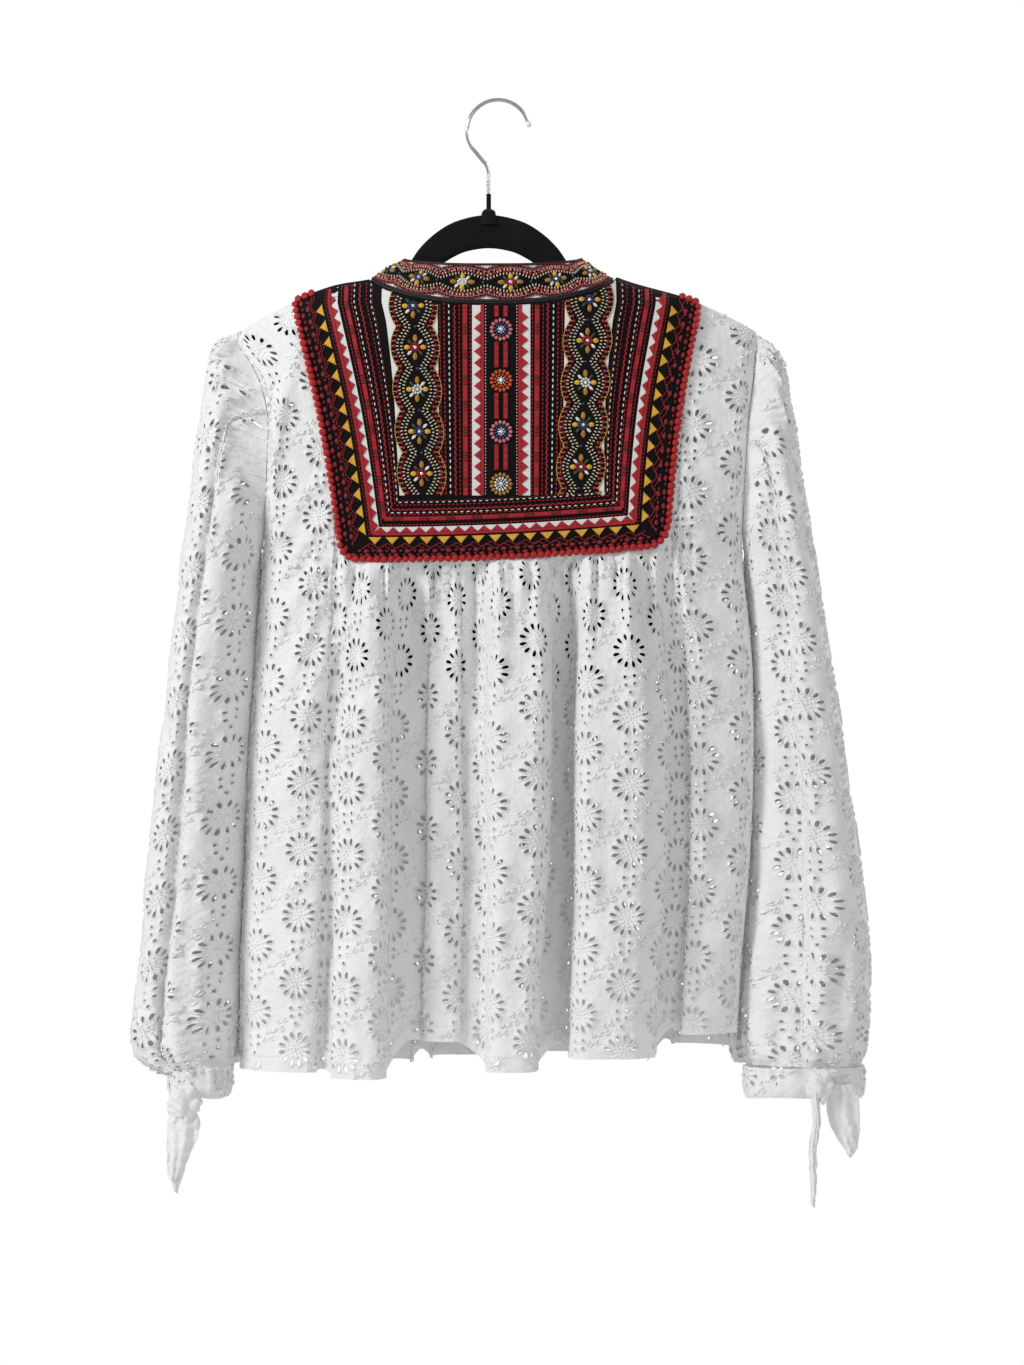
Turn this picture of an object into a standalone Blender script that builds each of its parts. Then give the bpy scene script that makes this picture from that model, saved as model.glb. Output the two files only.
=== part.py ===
"""A peasant blouse hanging on a flocked hanger, in metres, +Z up.

The origin is the inside of the hook's top, where a rail holds it. +X is to the
right of someone who looks at the blouse's back, and +Y points away from them.
The cloth is a thin wall: the back panels are at -Y and the front ones at +Y.
"""

import math

import bmesh
import bpy
import numpy as np
from mathutils import Vector

# Driving sizes
WALL = 0.0012  # cloth, with its embroidery
YOKE_WALL = 0.0018  # yoke and collar: cloth, backing and thread
SEAM = 0.0003  # gap left between two pieces that are sewn together
DEPTH = 0.034  # from the side seams' plane to the middle of a body panel
BACK, FRONT = -1, 1

# Shoulder ridge, where front and back meet over the hanger
RIDGE = (
    dict(x=0.000, z=-0.1120),
    dict(x=0.050, z=-0.1220),
    dict(x=0.098, z=-0.1430),
    dict(x=0.165, z=-0.1645),
    dict(x=0.213, z=-0.1880),
    dict(x=0.260, z=-0.2200),
)
RIDGE_ROUND = 0.024  # how fast the cloth falls away from the ridge

# Edges of the body panels: armhole down to the underarm, then side seam
SHOULDER_Z, UNDERARM_Z = -0.1885, -0.3600
BODY_EDGES = (
    dict(z=-0.1885, left=-0.2152, right=0.2096),
    dict(z=-0.2208, left=-0.1936, right=0.2056),
    dict(z=-0.2520, left=-0.1845, right=0.2012),
    dict(z=-0.2930, left=-0.1848, right=0.1980),
    dict(z=-0.3600, left=-0.1888, right=0.1967),
    dict(z=-0.4500, left=-0.1955, right=0.2048),
    dict(z=-0.5300, left=-0.2012, right=0.2060),
    dict(z=-0.6130, left=-0.2036, right=0.2028),
    dict(z=-0.6940, left=-0.2077, right=0.1960),
    dict(z=-0.7900, left=-0.2085, right=0.1904),
)
ARMHOLE_OPEN = 0.021  # half the armhole's opening, front to back

# Neck, where the collar is sewn on
NECK = dict(centre=-0.0040, half_width=0.0985, side_z=-0.1430)
NECK_MIDDLE_Z = {BACK: -0.1655, FRONT: -0.2150}

# Yokes: half width and centre at each height; the bottom edge is a shallow curve
YOKE_ROWS = {
    BACK: (
        dict(z=-0.164, half=0.1622, centre=-0.0010),
        dict(z=-0.250, half=0.1436, centre=0.0010),
        dict(z=-0.307, half=0.1352, centre=0.0028),
        dict(z=-0.356, half=0.1300, centre=0.0045),
    ),
    FRONT: (
        dict(z=-0.164, half=0.1622, centre=-0.0010),
        dict(z=-0.250, half=0.1465, centre=0.0000),
        dict(z=-0.350, half=0.1330, centre=0.0000),
        dict(z=-0.452, half=0.1240, centre=0.0000),
    ),
}
YOKE_BOTTOM = {
    BACK: dict(middle=-0.3677, slope=0.044, bend=0.234),
    FRONT: dict(middle=-0.4650, slope=0.0, bend=0.16),
}
YOKE_CORNER = 0.014
SLIT_HALF = 0.0010  # half the neck slit of the front yoke
SLIT_END_Z = -0.345

# Folds of the body panels. gather and hem: the lobe's left and right side, as
# shares of the panel's width; out: how far it stands out at the hem; valley:
# the same for the trough on its right; hem_z: the height of the hem under it.
FOLDS = {
    BACK: (
        dict(gather=(0.006, 0.151), hem=(0.006, 0.156), out=0.012, valley=-0.002, hem_z=-0.7790),
        dict(gather=(0.180, 0.274), hem=(0.192, 0.296), out=0.020, valley=-0.022, hem_z=-0.7830),
        dict(gather=(0.342, 0.409), hem=(0.370, 0.440), out=-0.012, valley=-0.021, hem_z=-0.7560),
        dict(gather=(0.452, 0.598), hem=(0.500, 0.598), out=0.022, valley=-0.020, hem_z=-0.7770),
        dict(gather=(0.629, 0.828), hem=(0.666, 0.830), out=0.018, valley=-0.020, hem_z=-0.7670),
        dict(gather=(0.861, 0.990), hem=(0.888, 0.990), out=0.000, valley=0.000, hem_z=-0.7500),
    ),
    FRONT: (
        dict(gather=(0.006, 0.150), hem=(0.006, 0.170), out=0.010, valley=-0.010, hem_z=-0.7640),
        dict(gather=(0.190, 0.330), hem=(0.205, 0.345), out=0.016, valley=-0.018, hem_z=-0.7720),
        dict(gather=(0.370, 0.500), hem=(0.385, 0.520), out=0.018, valley=-0.016, hem_z=-0.7740),
        dict(gather=(0.540, 0.680), hem=(0.560, 0.690), out=0.016, valley=-0.018, hem_z=-0.7710),
        dict(gather=(0.720, 0.830), hem=(0.730, 0.840), out=0.018, valley=-0.008, hem_z=-0.7690),
        dict(gather=(0.865, 0.990), hem=(0.875, 0.990), out=0.008, valley=0.000, hem_z=-0.7620),
    ),
}
VALLEY_HEM_RISE = 0.012  # the hem is this much higher in a full trough
FOLDS_START = 0.030  # folds beside a yoke open from this far above its bottom edge
YOKE_GAP = {BACK: 0.0014, FRONT: 0.0048}  # between a yoke's edge and the panel round it
RIDGE_SHARE = 0.30  # share of the columns beside a yoke that start on the ridge
FOLD_TIGHT, FOLD_LOOSE = 0.060, 0.200  # run in which folds open: gathered, plain

# Sleeve rings: inner and outer end of each ring, and its half depth
SLEEVES = {
    "left": (
        dict(inner=(-0.1915, -0.3620), outer=(-0.2250, -0.1965), deep=0.024),
        dict(inner=(-0.1925, -0.3650), outer=(-0.2325, -0.2145), deep=0.028),
        dict(inner=(-0.1937, -0.3690), outer=(-0.2375, -0.2400), deep=0.031),
        dict(inner=(-0.1952, -0.3760), outer=(-0.2425, -0.2800), deep=0.033),
        dict(inner=(-0.1967, -0.3900), outer=(-0.2500, -0.3400), deep=0.034),
        dict(inner=(-0.1985, -0.4250), outer=(-0.2600, -0.4150), deep=0.034),
        dict(inner=(-0.2025, -0.5000), outer=(-0.2705, -0.5000), deep=0.034),
        dict(inner=(-0.2065, -0.5900), outer=(-0.2790, -0.5900), deep=0.034),
        dict(inner=(-0.2105, -0.6700), outer=(-0.2865, -0.6700), deep=0.034),
        dict(inner=(-0.2125, -0.7250), outer=(-0.2930, -0.7250), deep=0.035),
        dict(inner=(-0.2150, -0.7540), outer=(-0.2950, -0.7560), deep=0.035),
        dict(inner=(-0.2168, -0.7660), outer=(-0.2895, -0.7690), deep=0.033),
        dict(inner=(-0.2168, -0.7748), outer=(-0.2722, -0.7748), deep=0.031),
    ),
    "right": (
        dict(inner=(0.1992, -0.3620), outer=(0.2215, -0.1975), deep=0.024),
        dict(inner=(0.2002, -0.3650), outer=(0.2298, -0.2130), deep=0.028),
        dict(inner=(0.2014, -0.3690), outer=(0.2355, -0.2400), deep=0.031),
        dict(inner=(0.2030, -0.3760), outer=(0.2410, -0.2800), deep=0.033),
        dict(inner=(0.2048, -0.3900), outer=(0.2508, -0.3400), deep=0.034),
        dict(inner=(0.2075, -0.4250), outer=(0.2642, -0.4150), deep=0.034),
        dict(inner=(0.2095, -0.5000), outer=(0.2762, -0.5000), deep=0.034),
        dict(inner=(0.2070, -0.5900), outer=(0.2882, -0.5900), deep=0.034),
        dict(inner=(0.2015, -0.6700), outer=(0.2990, -0.6700), deep=0.035),
        dict(inner=(0.1975, -0.7250), outer=(0.2992, -0.7250), deep=0.035),
        dict(inner=(0.1960, -0.7540), outer=(0.2975, -0.7540), deep=0.034),
        dict(inner=(0.1975, -0.7680), outer=(0.2960, -0.7680), deep=0.031),
        dict(inner=(0.2000, -0.7763), outer=(0.2935, -0.7763), deep=0.025),
    ),
}
# Loop of a sleeve ring: across from the outer end (0) to the inner end (1), and
# deep as a share of the half depth. The front half of the table is the shown side.
SLEEVE_LOOP = {
    "left": (
        dict(across=0.00, deep=0.00),
        dict(across=0.05, deep=-0.42),
        dict(across=0.20, deep=-0.72),
        dict(across=0.36, deep=-0.62),
        dict(across=0.43, deep=-0.80),
        dict(across=0.52, deep=-1.02),
        dict(across=0.72, deep=-0.96),
        dict(across=0.92, deep=-0.60),
        dict(across=1.00, deep=0.00),
        dict(across=0.93, deep=0.55),
        dict(across=0.76, deep=0.92),
        dict(across=0.58, deep=0.74),
        dict(across=0.44, deep=0.98),
        dict(across=0.28, deep=0.86),
        dict(across=0.14, deep=0.95),
        dict(across=0.03, deep=0.48),
    ),
    "right": (
        dict(across=0.00, deep=0.00),
        dict(across=0.05, deep=-0.50),
        dict(across=0.18, deep=-0.94),
        dict(across=0.34, deep=-1.02),
        dict(across=0.47, deep=-0.90),
        dict(across=0.55, deep=-0.52),
        dict(across=0.68, deep=-0.46),
        dict(across=0.84, deep=-0.62),
        dict(across=1.00, deep=0.00),
        dict(across=0.93, deep=0.60),
        dict(across=0.78, deep=0.95),
        dict(across=0.62, deep=0.80),
        dict(across=0.46, deep=1.00),
        dict(across=0.28, deep=0.82),
        dict(across=0.12, deep=0.86),
        dict(across=0.03, deep=0.45),
    ),
}
CUFFS = {
    "left": dict(centre=-0.2445, half_width=0.0277, half_depth=0.0310, top=-0.7756, height=0.0245),
    "right": dict(centre=0.2468, half_width=0.0467, half_depth=0.0250, top=-0.7771, height=0.0245),
}
KNOTS = {
    "left": dict(at=(-0.2496, -0.8020), size=(0.0135, 0.0095, 0.0165)),
    "right": dict(at=(0.2560, -0.7890), size=(0.0110, 0.0095, 0.0145)),
}
# Tie ends: rows down each end, with the middle x, height, width and thickness;
# ahead is how far the end hangs in front of the knot's middle.
TIES = {
    "tie_left_outer": dict(
        knot="left",
        ahead=0.0021,
        rows=(
            dict(x=-0.2495, z=-0.8189, wide=0.0270, thick=0.0034),
            dict(x=-0.2510, z=-0.8300, wide=0.0240, thick=0.0036),
            dict(x=-0.2540, z=-0.8430, wide=0.0180, thick=0.0034),
            dict(x=-0.2570, z=-0.8560, wide=0.0110, thick=0.0030),
            dict(x=-0.2590, z=-0.8640, wide=0.0040, thick=0.0024),
        ),
    ),
    "tie_left_inner": dict(
        knot="left",
        ahead=-0.0021,
        rows=(
            dict(x=-0.2480, z=-0.8190, wide=0.0180, thick=0.0028),
            dict(x=-0.2505, z=-0.8330, wide=0.0170, thick=0.0030),
            dict(x=-0.2535, z=-0.8500, wide=0.0120, thick=0.0030),
            dict(x=-0.2560, z=-0.8640, wide=0.0080, thick=0.0026),
            dict(x=-0.2563, z=-0.8735, wide=0.0030, thick=0.0022),
        ),
    ),
    "tie_right_thin": dict(
        knot="right",
        ahead=0.0025,
        rows=(
            dict(x=0.2525, z=-0.8034, wide=0.0070, thick=0.0050),
            dict(x=0.2535, z=-0.8190, wide=0.0062, thick=0.0052),
            dict(x=0.2505, z=-0.8400, wide=0.0064, thick=0.0048),
            dict(x=0.2510, z=-0.8640, wide=0.0060, thick=0.0044),
            dict(x=0.2506, z=-0.8850, wide=0.0030, thick=0.0030),
        ),
    ),
    "tie_right_wide": dict(
        knot="right",
        ahead=-0.0045,
        rows=(
            dict(x=0.2750, z=-0.7990, wide=0.0256, thick=0.0034),
            dict(x=0.2755, z=-0.8140, wide=0.0262, thick=0.0036),
            dict(x=0.2780, z=-0.8280, wide=0.0210, thick=0.0034),
            dict(x=0.2805, z=-0.8400, wide=0.0110, thick=0.0030),
            dict(x=0.2800, z=-0.8465, wide=0.0030, thick=0.0024),
        ),
    ),
}

# Collar: a stand band, leaning in where it passes over the hanger
COLLAR_HEIGHT = 0.0300
COLLAR_LEAN = dict(back=0.12, side=1.02, front=0.30)  # radians from upright
COLLAR_OPEN = 0.030  # half the angle left open at the front, in radians

TRIM_RADIUS = 0.0026

# Hanger
HANGER = dict(centre=-0.0076, thick=0.0048)
HANGER_ROWS = (  # distance from the middle, height of the middle line, band height
    dict(x=0.000, z=-0.1048, tall=0.0272),
    dict(x=0.020, z=-0.1080, tall=0.0262),
    dict(x=0.034, z=-0.1146, tall=0.0246),
    dict(x=0.047, z=-0.1250, tall=0.0222),
    dict(x=0.060, z=-0.1412, tall=0.0202),
    dict(x=0.078, z=-0.1538, tall=0.0192),
    dict(x=0.098, z=-0.1622, tall=0.0180),
    dict(x=0.130, z=-0.1715, tall=0.0180),
    dict(x=0.165, z=-0.1842, tall=0.0165),
    dict(x=0.185, z=-0.1920, tall=0.0150),
    dict(x=0.196, z=-0.1970, tall=0.0120),
)
BOSS = dict(radius=0.0058, top=-0.0868, height=0.0120)
WIRE = 0.0015  # radius of the hook's wire
HOOK_RADIUS = 0.0250
HOOK_ENDS = dict(tip=math.radians(18), shank=math.radians(214))
SHANK_BEND_Z = -0.0535
SHANK_IN_BOSS = 0.0070

# Mesh density
BODY_COLUMNS, BODY_ROWS = 46, 9
YOKE_COLUMNS, YOKE_STEPS = 14, 8
SLEEVE_POINTS = 22


def smooth(t):
    """0 to 1 with level ends."""
    t = np.clip(t, 0.0, 1.0)
    return t * t * (3 - 2 * t)


def column(rows, name):
    return np.array([row[name] for row in rows], float)


def follow(rows, at, name, value):
    """A table's column as a smooth curve of another column, which may run either way."""
    xs, ys = column(rows, at), column(rows, name)
    if xs[0] > xs[-1]:
        xs, ys = xs[::-1], ys[::-1]
    slopes = np.gradient(ys, xs)
    x = np.clip(value, xs[0], xs[-1])
    i = np.clip(np.searchsorted(xs, x) - 1, 0, len(xs) - 2)
    run = xs[i + 1] - xs[i]
    t = (x - xs[i]) / run
    keep = (2 * t**3 - 3 * t**2 + 1) * ys[i] + (3 * t**2 - 2 * t**3) * ys[i + 1]
    lean = (t**3 - 2 * t**2 + t) * slopes[i] + (t**3 - t**2) * slopes[i + 1]
    return keep + run * lean


def through(points, at, closed=False):
    """Points of a Catmull-Rom curve through the given ones, at index positions."""
    points = np.asarray(points, float)
    count = len(points)
    i = np.floor(at).astype(int)
    if not closed:
        i = np.clip(i, 0, count - 2)
    t = (at - i)[:, None]

    def point(k):
        return points[k % count] if closed else points[np.clip(k, 0, count - 1)]

    a, b, c, d = point(i - 1), point(i), point(i + 1), point(i + 2)
    return b + 0.5 * t * (c - a + t * (2 * a - 5 * b + 4 * c - d + t * (3 * (b - c) + d - a)))


def spread_evenly(points, count, closed=False):
    """Index positions that share a control polygon's length evenly."""
    points = np.asarray(points, float)
    if closed:
        points = np.vstack([points, points[:1]])
    fine = np.linspace(0, len(points) - 1, 12 * len(points) + 1)
    curve = through(points, fine)
    run = np.concatenate([[0], np.cumsum(np.linalg.norm(np.diff(curve, axis=0), axis=1))])
    return np.interp(np.linspace(0, run[-1], count), run, fine)


def ridge_z(x):
    return follow(RIDGE, "x", "z", np.abs(x))


def body_edges(z):
    return follow(BODY_EDGES, "z", "left", z), follow(BODY_EDGES, "z", "right", z)


def armhole_depth(z):
    """How far the armhole's edge stands from the seam plane: 0 at both its ends."""
    share = np.clip((SHOULDER_Z - z) / (SHOULDER_Z - UNDERARM_Z), 0, 1)
    return ARMHOLE_OPEN * np.sin(math.pi * share)


def torso_depth(x, z):
    """Distance of the smooth torso form from the seam plane, y = 0."""
    left, right = body_edges(z)
    across = np.clip(np.abs((2 * x - left - right) / (right - left)), 0, 1)
    edge = armhole_depth(z)
    form = edge + (DEPTH - edge) * np.sqrt(1 - across**4)
    return form * (1 - np.exp(-np.maximum(ridge_z(x) - z, 0) / RIDGE_ROUND))


def torso_point(side, x, z, out=0.0):
    """A point of the torso form, moved out by some distance, clear of the seam plane."""
    y = side * (torso_depth(x, z) + out)
    return np.array([x, y, z])


def neck_z(side, x):
    across = np.clip(np.abs((x - NECK["centre"]) / NECK["half_width"]), 0, 1)
    dip = (NECK_MIDDLE_Z[side] - NECK["side_z"]) * (1 - across**2.6) ** 0.8
    return NECK["side_z"] + dip


def yoke_side(side, z):
    rows = YOKE_ROWS[side]
    return follow(rows, "z", "centre", z), follow(rows, "z", "half", z)


def yoke_top_z(side, x):
    if abs(x - NECK["centre"]) < NECK["half_width"]:
        return neck_z(side, x) - SEAM - YOKE_WALL / 2
    return ridge_z(x) - SEAM


def yoke_bottom_z(side, x):
    """Bottom edge of a yoke, with its corners rounded."""
    edge = YOKE_BOTTOM[side]
    z = edge["middle"] + edge["slope"] * x + edge["bend"] * x * x
    centre, half = yoke_side(side, z)
    past = np.maximum(0.0, np.abs(x - centre) - (half - YOKE_CORNER))
    return z + YOKE_CORNER - np.sqrt(np.maximum(YOKE_CORNER**2 - past**2, 0.0))


def inside_yoke(side, x, z, margin):
    centre, half = yoke_side(side, z)
    return (np.abs(x - centre) < half + margin) & (z > yoke_bottom_z(side, x) - margin)


def add_object(name, bm, colour, roughness, metallic=0.0, smooth_angle=50):
    mesh = bpy.data.meshes.new(name)
    bm.to_mesh(mesh)
    bm.free()
    mesh.shade_smooth()
    mesh.set_sharp_from_angle(angle=math.radians(smooth_angle))
    obj = bpy.data.objects.new(name, mesh)
    bpy.context.scene.collection.objects.link(obj)
    material = bpy.data.materials.new(name)
    material.use_nodes = True
    shader = material.node_tree.nodes["Principled BSDF"]
    shader.inputs["Base Color"].default_value = (*colour, 1.0)
    shader.inputs["Roughness"].default_value = roughness
    shader.inputs["Metallic"].default_value = metallic
    mesh.materials.append(material)
    return obj


def sheet_mesh(grid, closed=False):
    """A bmesh of quads through a grid of points, one row after another."""
    bm = bmesh.new()
    rows = [[bm.verts.new(p) for p in row] for row in grid]
    for upper, lower in zip(rows, rows[1:]):
        count = len(upper)
        for i in range(count if closed else count - 1):
            j = (i + 1) % count
            bm.faces.new((upper[i], upper[j], lower[j], lower[i]))
    return bm


def tube_mesh(rings):
    """A closed solid through rings of points, with flat ends."""
    bm = sheet_mesh(rings, closed=True)
    count = len(rings[0])
    bm.verts.ensure_lookup_table()
    ends = (list(bm.verts[:count])[::-1], list(bm.verts[-count:]))
    for end in ends:
        bm.faces.new(end)
    bmesh.ops.recalc_face_normals(bm, faces=bm.faces)
    return bm


def add_cloth(name, grid, colour, wall=WALL, closed=False):
    """A cloth wall whose middle is the grid."""
    bm = sheet_mesh(grid, closed)
    bmesh.ops.recalc_face_normals(bm, faces=bm.faces)
    obj = add_object(name, bm, colour, roughness=0.85)
    shell = obj.modifiers.new("wall", "SOLIDIFY")
    shell.thickness = wall
    shell.offset = 0.0
    return obj


def yoke_grid(side, low=-1.0, high=1.0):
    """Grid of a yoke between two shares of its half width."""
    turn = np.linspace(math.asin(low), math.asin(high), YOKE_COLUMNS + 1)
    columns = []
    for share in np.sin(turn):
        z_top = NECK_MIDDLE_Z[side]
        for _ in range(6):
            centre, half = yoke_side(side, z_top)
            z_top = yoke_top_z(side, centre + share * half)
        z_low = YOKE_BOTTOM[side]["middle"]
        for _ in range(6):
            centre, half = yoke_side(side, z_low)
            z_low = yoke_bottom_z(side, centre + share * half)
        points = []
        for z in np.linspace(z_top, z_low, YOKE_STEPS + 1):
            centre, half = yoke_side(side, z)
            points.append(torso_point(side, centre + share * half, z, YOKE_WALL / 2))
        columns.append(points)
    return [list(row) for row in zip(*columns)]


def add_yokes(colour):
    add_cloth("yoke_back", yoke_grid(BACK), colour, YOKE_WALL)
    gap = SLIT_HALF / YOKE_ROWS[FRONT][0]["half"]
    add_cloth("yoke_front_left", yoke_grid(FRONT, -1.0, -gap), colour, YOKE_WALL)
    add_cloth("yoke_front_right", yoke_grid(FRONT, gap, 1.0), colour, YOKE_WALL)


def fold_points(side):
    """Control points across a panel: share at the gather, share at the hem, out, hem height."""
    folds = FOLDS[side]
    points = [(0.0, 0.0, -DEPTH, folds[0]["hem_z"])]
    for i, fold in enumerate(folds):
        (g0, g1), (h0, h1) = fold["gather"], fold["hem"]
        before = folds[i - 1]["valley"] if i else -DEPTH
        after = fold["valley"] if i < len(folds) - 1 else -DEPTH
        out, hem_z = fold["out"], fold["hem_z"]
        points.append((g0, h0, (out + before) / 2 if i else -0.45 * DEPTH, hem_z))
        for part in (0.22, 0.72):
            points.append((g0 + part * (g1 - g0), h0 + part * (h1 - h0), out, hem_z))
        points.append((g1, h1, (out + after) / 2 if after > -DEPTH else -0.45 * DEPTH, hem_z))
        if i < len(folds) - 1:
            following = folds[i + 1]
            rise = VALLEY_HEM_RISE * min(1.0, max(0.0, out - after) / 0.04)
            middle_z = (hem_z + following["hem_z"]) / 2 + rise
            points.append(
                ((g1 + following["gather"][0]) / 2, (h1 + following["hem"][0]) / 2, after, middle_z)
            )
    points.append((1.0, 1.0, -DEPTH, folds[-1]["hem_z"]))
    return np.array(points)


def body_columns(side):
    """Evenly spread columns across a body panel, as rows of fold_points."""
    points = fold_points(side)
    width = BODY_EDGES[-1]["right"] - BODY_EDGES[-1]["left"]
    path = np.column_stack([points[:, 1] * width, points[:, 2]])
    return through(points, spread_evenly(path, BODY_COLUMNS + 1))


def body_point(side, column_row, z, start, gathered):
    """A point on one column of a body panel. start: its top as (share, height)."""
    at_gather, at_hem, out, hem_z = column_row
    start_share, start_z = start
    gather_z = YOKE_BOTTOM[side]["middle"]
    fan = smooth((start_z - z) / max(start_z - gather_z, 0.001))
    drop = smooth((gather_z - z) / (gather_z - hem_z))
    share = start_share + (at_gather - start_share) * fan + (at_hem - at_gather) * drop
    left, right = body_edges(z)
    x = left + share * (right - left)
    run = FOLD_TIGHT if gathered else FOLD_LOOSE
    below = max(0.0, min(start_z, gather_z + FOLDS_START) - z - 0.0035)
    moved = max(out, -0.55 * DEPTH) * (1 - math.exp(-below / run)) * (1 - abs(2 * share - 1) ** 6)
    depth = max(torso_depth(x, z) + moved, WALL / 2 + SEAM)
    return np.array([x, side * depth, z])


def start_below(side, at_gather):
    """Top of a column under the yoke, as (share, height)."""
    z = np.linspace(-0.300, YOKE_BOTTOM[side]["middle"] - 0.015, 700)
    left, right = body_edges(z)
    blocked = inside_yoke(side, left + at_gather * (right - left), z, YOKE_GAP[side])
    return at_gather, z[np.flatnonzero(blocked)[-1] + 1]


def start_beside(side, edge, t):
    """Top of a column beside the yoke: along the shoulder ridge, then down the yoke's side."""
    sign = -1 if edge == 0 else 1
    corner_z = YOKE_ROWS[side][0]["z"]
    for _ in range(4):
        centre, half = yoke_side(side, corner_z)
        corner_x = centre + sign * (half + YOKE_GAP[side])
        corner_z = ridge_z(corner_x) - SEAM
    if t <= RIDGE_SHARE:
        seam_x = body_edges(SHOULDER_Z)[edge]
        x = seam_x + (corner_x - seam_x) * t / RIDGE_SHARE
        z = min(ridge_z(x) - SEAM, SHOULDER_Z) if t == 0 else ridge_z(x) - SEAM
    else:
        lowest = YOKE_BOTTOM[side]["middle"] + 1.3 * YOKE_CORNER
        z = corner_z + (lowest - corner_z) * (t - RIDGE_SHARE) / (1 - RIDGE_SHARE)
        centre, half = yoke_side(side, z)
        x = centre + sign * (half + YOKE_GAP[side])
    left, right = body_edges(z)
    return (x - left) / (right - left), z


def column_starts(side, at_gather):
    low_z = YOKE_BOTTOM[side]["middle"] + YOKE_CORNER
    left, right = body_edges(low_z)
    centre, half = yoke_side(side, low_z)
    reach = half + YOKE_GAP[side]
    limits = [(centre - reach - left) / (right - left), (centre + reach - left) / (right - left)]
    beside = [at_gather / limits[0], (1 - at_gather) / (1 - limits[1])]
    for t in beside:
        t[np.argmin(np.abs(t - RIDGE_SHARE))] = RIDGE_SHARE
    starts = []
    for i, share in enumerate(at_gather):
        edge = 0 if share < 0.5 else 1
        if beside[edge][i] < 1:
            starts.append(start_beside(side, edge, max(0.0, beside[edge][i])))
        else:
            starts.append(start_below(side, share))
    return starts


def body_grid(side):
    columns = body_columns(side)
    rows = []
    for column_row, start in zip(columns, column_starts(side, columns[:, 0])):
        gathered = abs(column_row[0] - 0.5) < 0.29
        heights = start[1] + (column_row[3] - start[1]) * np.linspace(0, 1, BODY_ROWS + 1) ** 1.25
        rows.append([body_point(side, column_row, z, start, gathered) for z in heights])
    return [list(row) for row in zip(*rows)]


def add_bodies(colour):
    for side, name in ((BACK, "body_back"), (FRONT, "body_front")):
        add_cloth(name, body_grid(side), colour)


def armhole_ring(name, loop):
    """First ring of a sleeve, on the armhole's edge."""
    outward = -1 if name == "left" else 1
    ring = []
    for across, deep in loop:
        z = SHOULDER_Z + across * (UNDERARM_Z - SHOULDER_Z)
        x = follow(BODY_EDGES, "z", name, z) + outward * (SEAM + 2.2 * WALL)
        ring.append((x, math.copysign(float(armhole_depth(z)), deep), z))
    return ring


def sleeve_rings(name):
    loop = np.array([(row["across"], row["deep"]) for row in SLEEVE_LOOP[name]])
    at = spread_evenly(loop, SLEEVE_POINTS + 1, closed=True)[:-1]
    loop = through(loop, at, closed=True)
    loop[:, 0] = np.clip(loop[:, 0], 0, 1)
    plain = np.sqrt(np.clip(1 - np.abs(2 * loop[:, 0] - 1) ** 2.4, 0, 1))
    rings = [armhole_ring(name, loop)]
    stations = SLEEVES[name]
    for i, row in enumerate(stations):
        folded = float(smooth(i / 7)) * float(smooth((len(stations) - i) / 3))
        outer, inner = np.array(row["outer"]), np.array(row["inner"])
        ring = []
        for (across, deep), round_ in zip(loop, plain):
            x, z = outer + across * (inner - outer)
            shape = folded * deep + (1 - folded) * math.copysign(round_, deep)
            ring.append((x, shape * row["deep"], z))
        rings.append(ring)
    return rings


def oval_ring(centre, half_width, half_depth, z, count=20, power=2.6):
    ring = []
    for i in range(count):
        turn = 2 * math.pi * i / count
        c, s = math.cos(turn), math.sin(turn)
        x = centre - half_width * math.copysign(abs(c) ** (2 / power), c)
        y = -half_depth * math.copysign(abs(s) ** (2 / power), s)
        ring.append((x, y, z))
    return ring


def add_sleeves(colour):
    for name in SLEEVES:
        add_cloth(f"sleeve_{name}", sleeve_rings(name), colour, closed=True)
        cuff = CUFFS[name]
        rings = [
            oval_ring(cuff["centre"], cuff["half_width"], cuff["half_depth"], z)
            for z in (cuff["top"], cuff["top"] - cuff["height"] / 2, cuff["top"] - cuff["height"])
        ]
        add_cloth(f"cuff_{name}", rings, colour, wall=2 * WALL, closed=True)


def knot_middle(name):
    """Centre of a knot: it sits against the front of its cuff."""
    x, z = KNOTS[name]["at"]
    cuff = CUFFS[name]
    return Vector((x, -cuff["half_depth"] - WALL - SEAM - KNOTS[name]["size"][1], z))


def add_ties(colour):
    for name, knot in KNOTS.items():
        bm = bmesh.new()
        bmesh.ops.create_uvsphere(bm, u_segments=12, v_segments=8, radius=1.0)
        bmesh.ops.scale(bm, vec=Vector(knot["size"]), verts=bm.verts)
        bmesh.ops.translate(bm, vec=knot_middle(name), verts=bm.verts)
        add_object(f"knot_{name}", bm, colour, roughness=0.85)
    for name, tie in TIES.items():
        y = knot_middle(tie["knot"]).y - tie["ahead"]
        rings = [
            oval_ring(row["x"], row["wide"] / 2, row["thick"] / 2, row["z"], count=8)
            for row in tie["rows"]
        ]
        rings = [[(px, py + y, pz) for px, py, pz in ring] for ring in rings]
        add_object(name, tube_mesh(rings), colour, roughness=0.85)


def collar_base(turn):
    """Point of the neck edge at an angle: 0 is the middle of the back, pi the front."""
    side = BACK if math.cos(turn) > 0 else FRONT
    x = NECK["centre"] - (NECK["half_width"] - 0.0004) * math.sin(turn)
    z = float(neck_z(side, x))
    y = side * float(torso_depth(x, z) + YOKE_WALL / 2) * min(1.0, abs(math.cos(turn)) * 6)
    return Vector((x, y, z))


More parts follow.
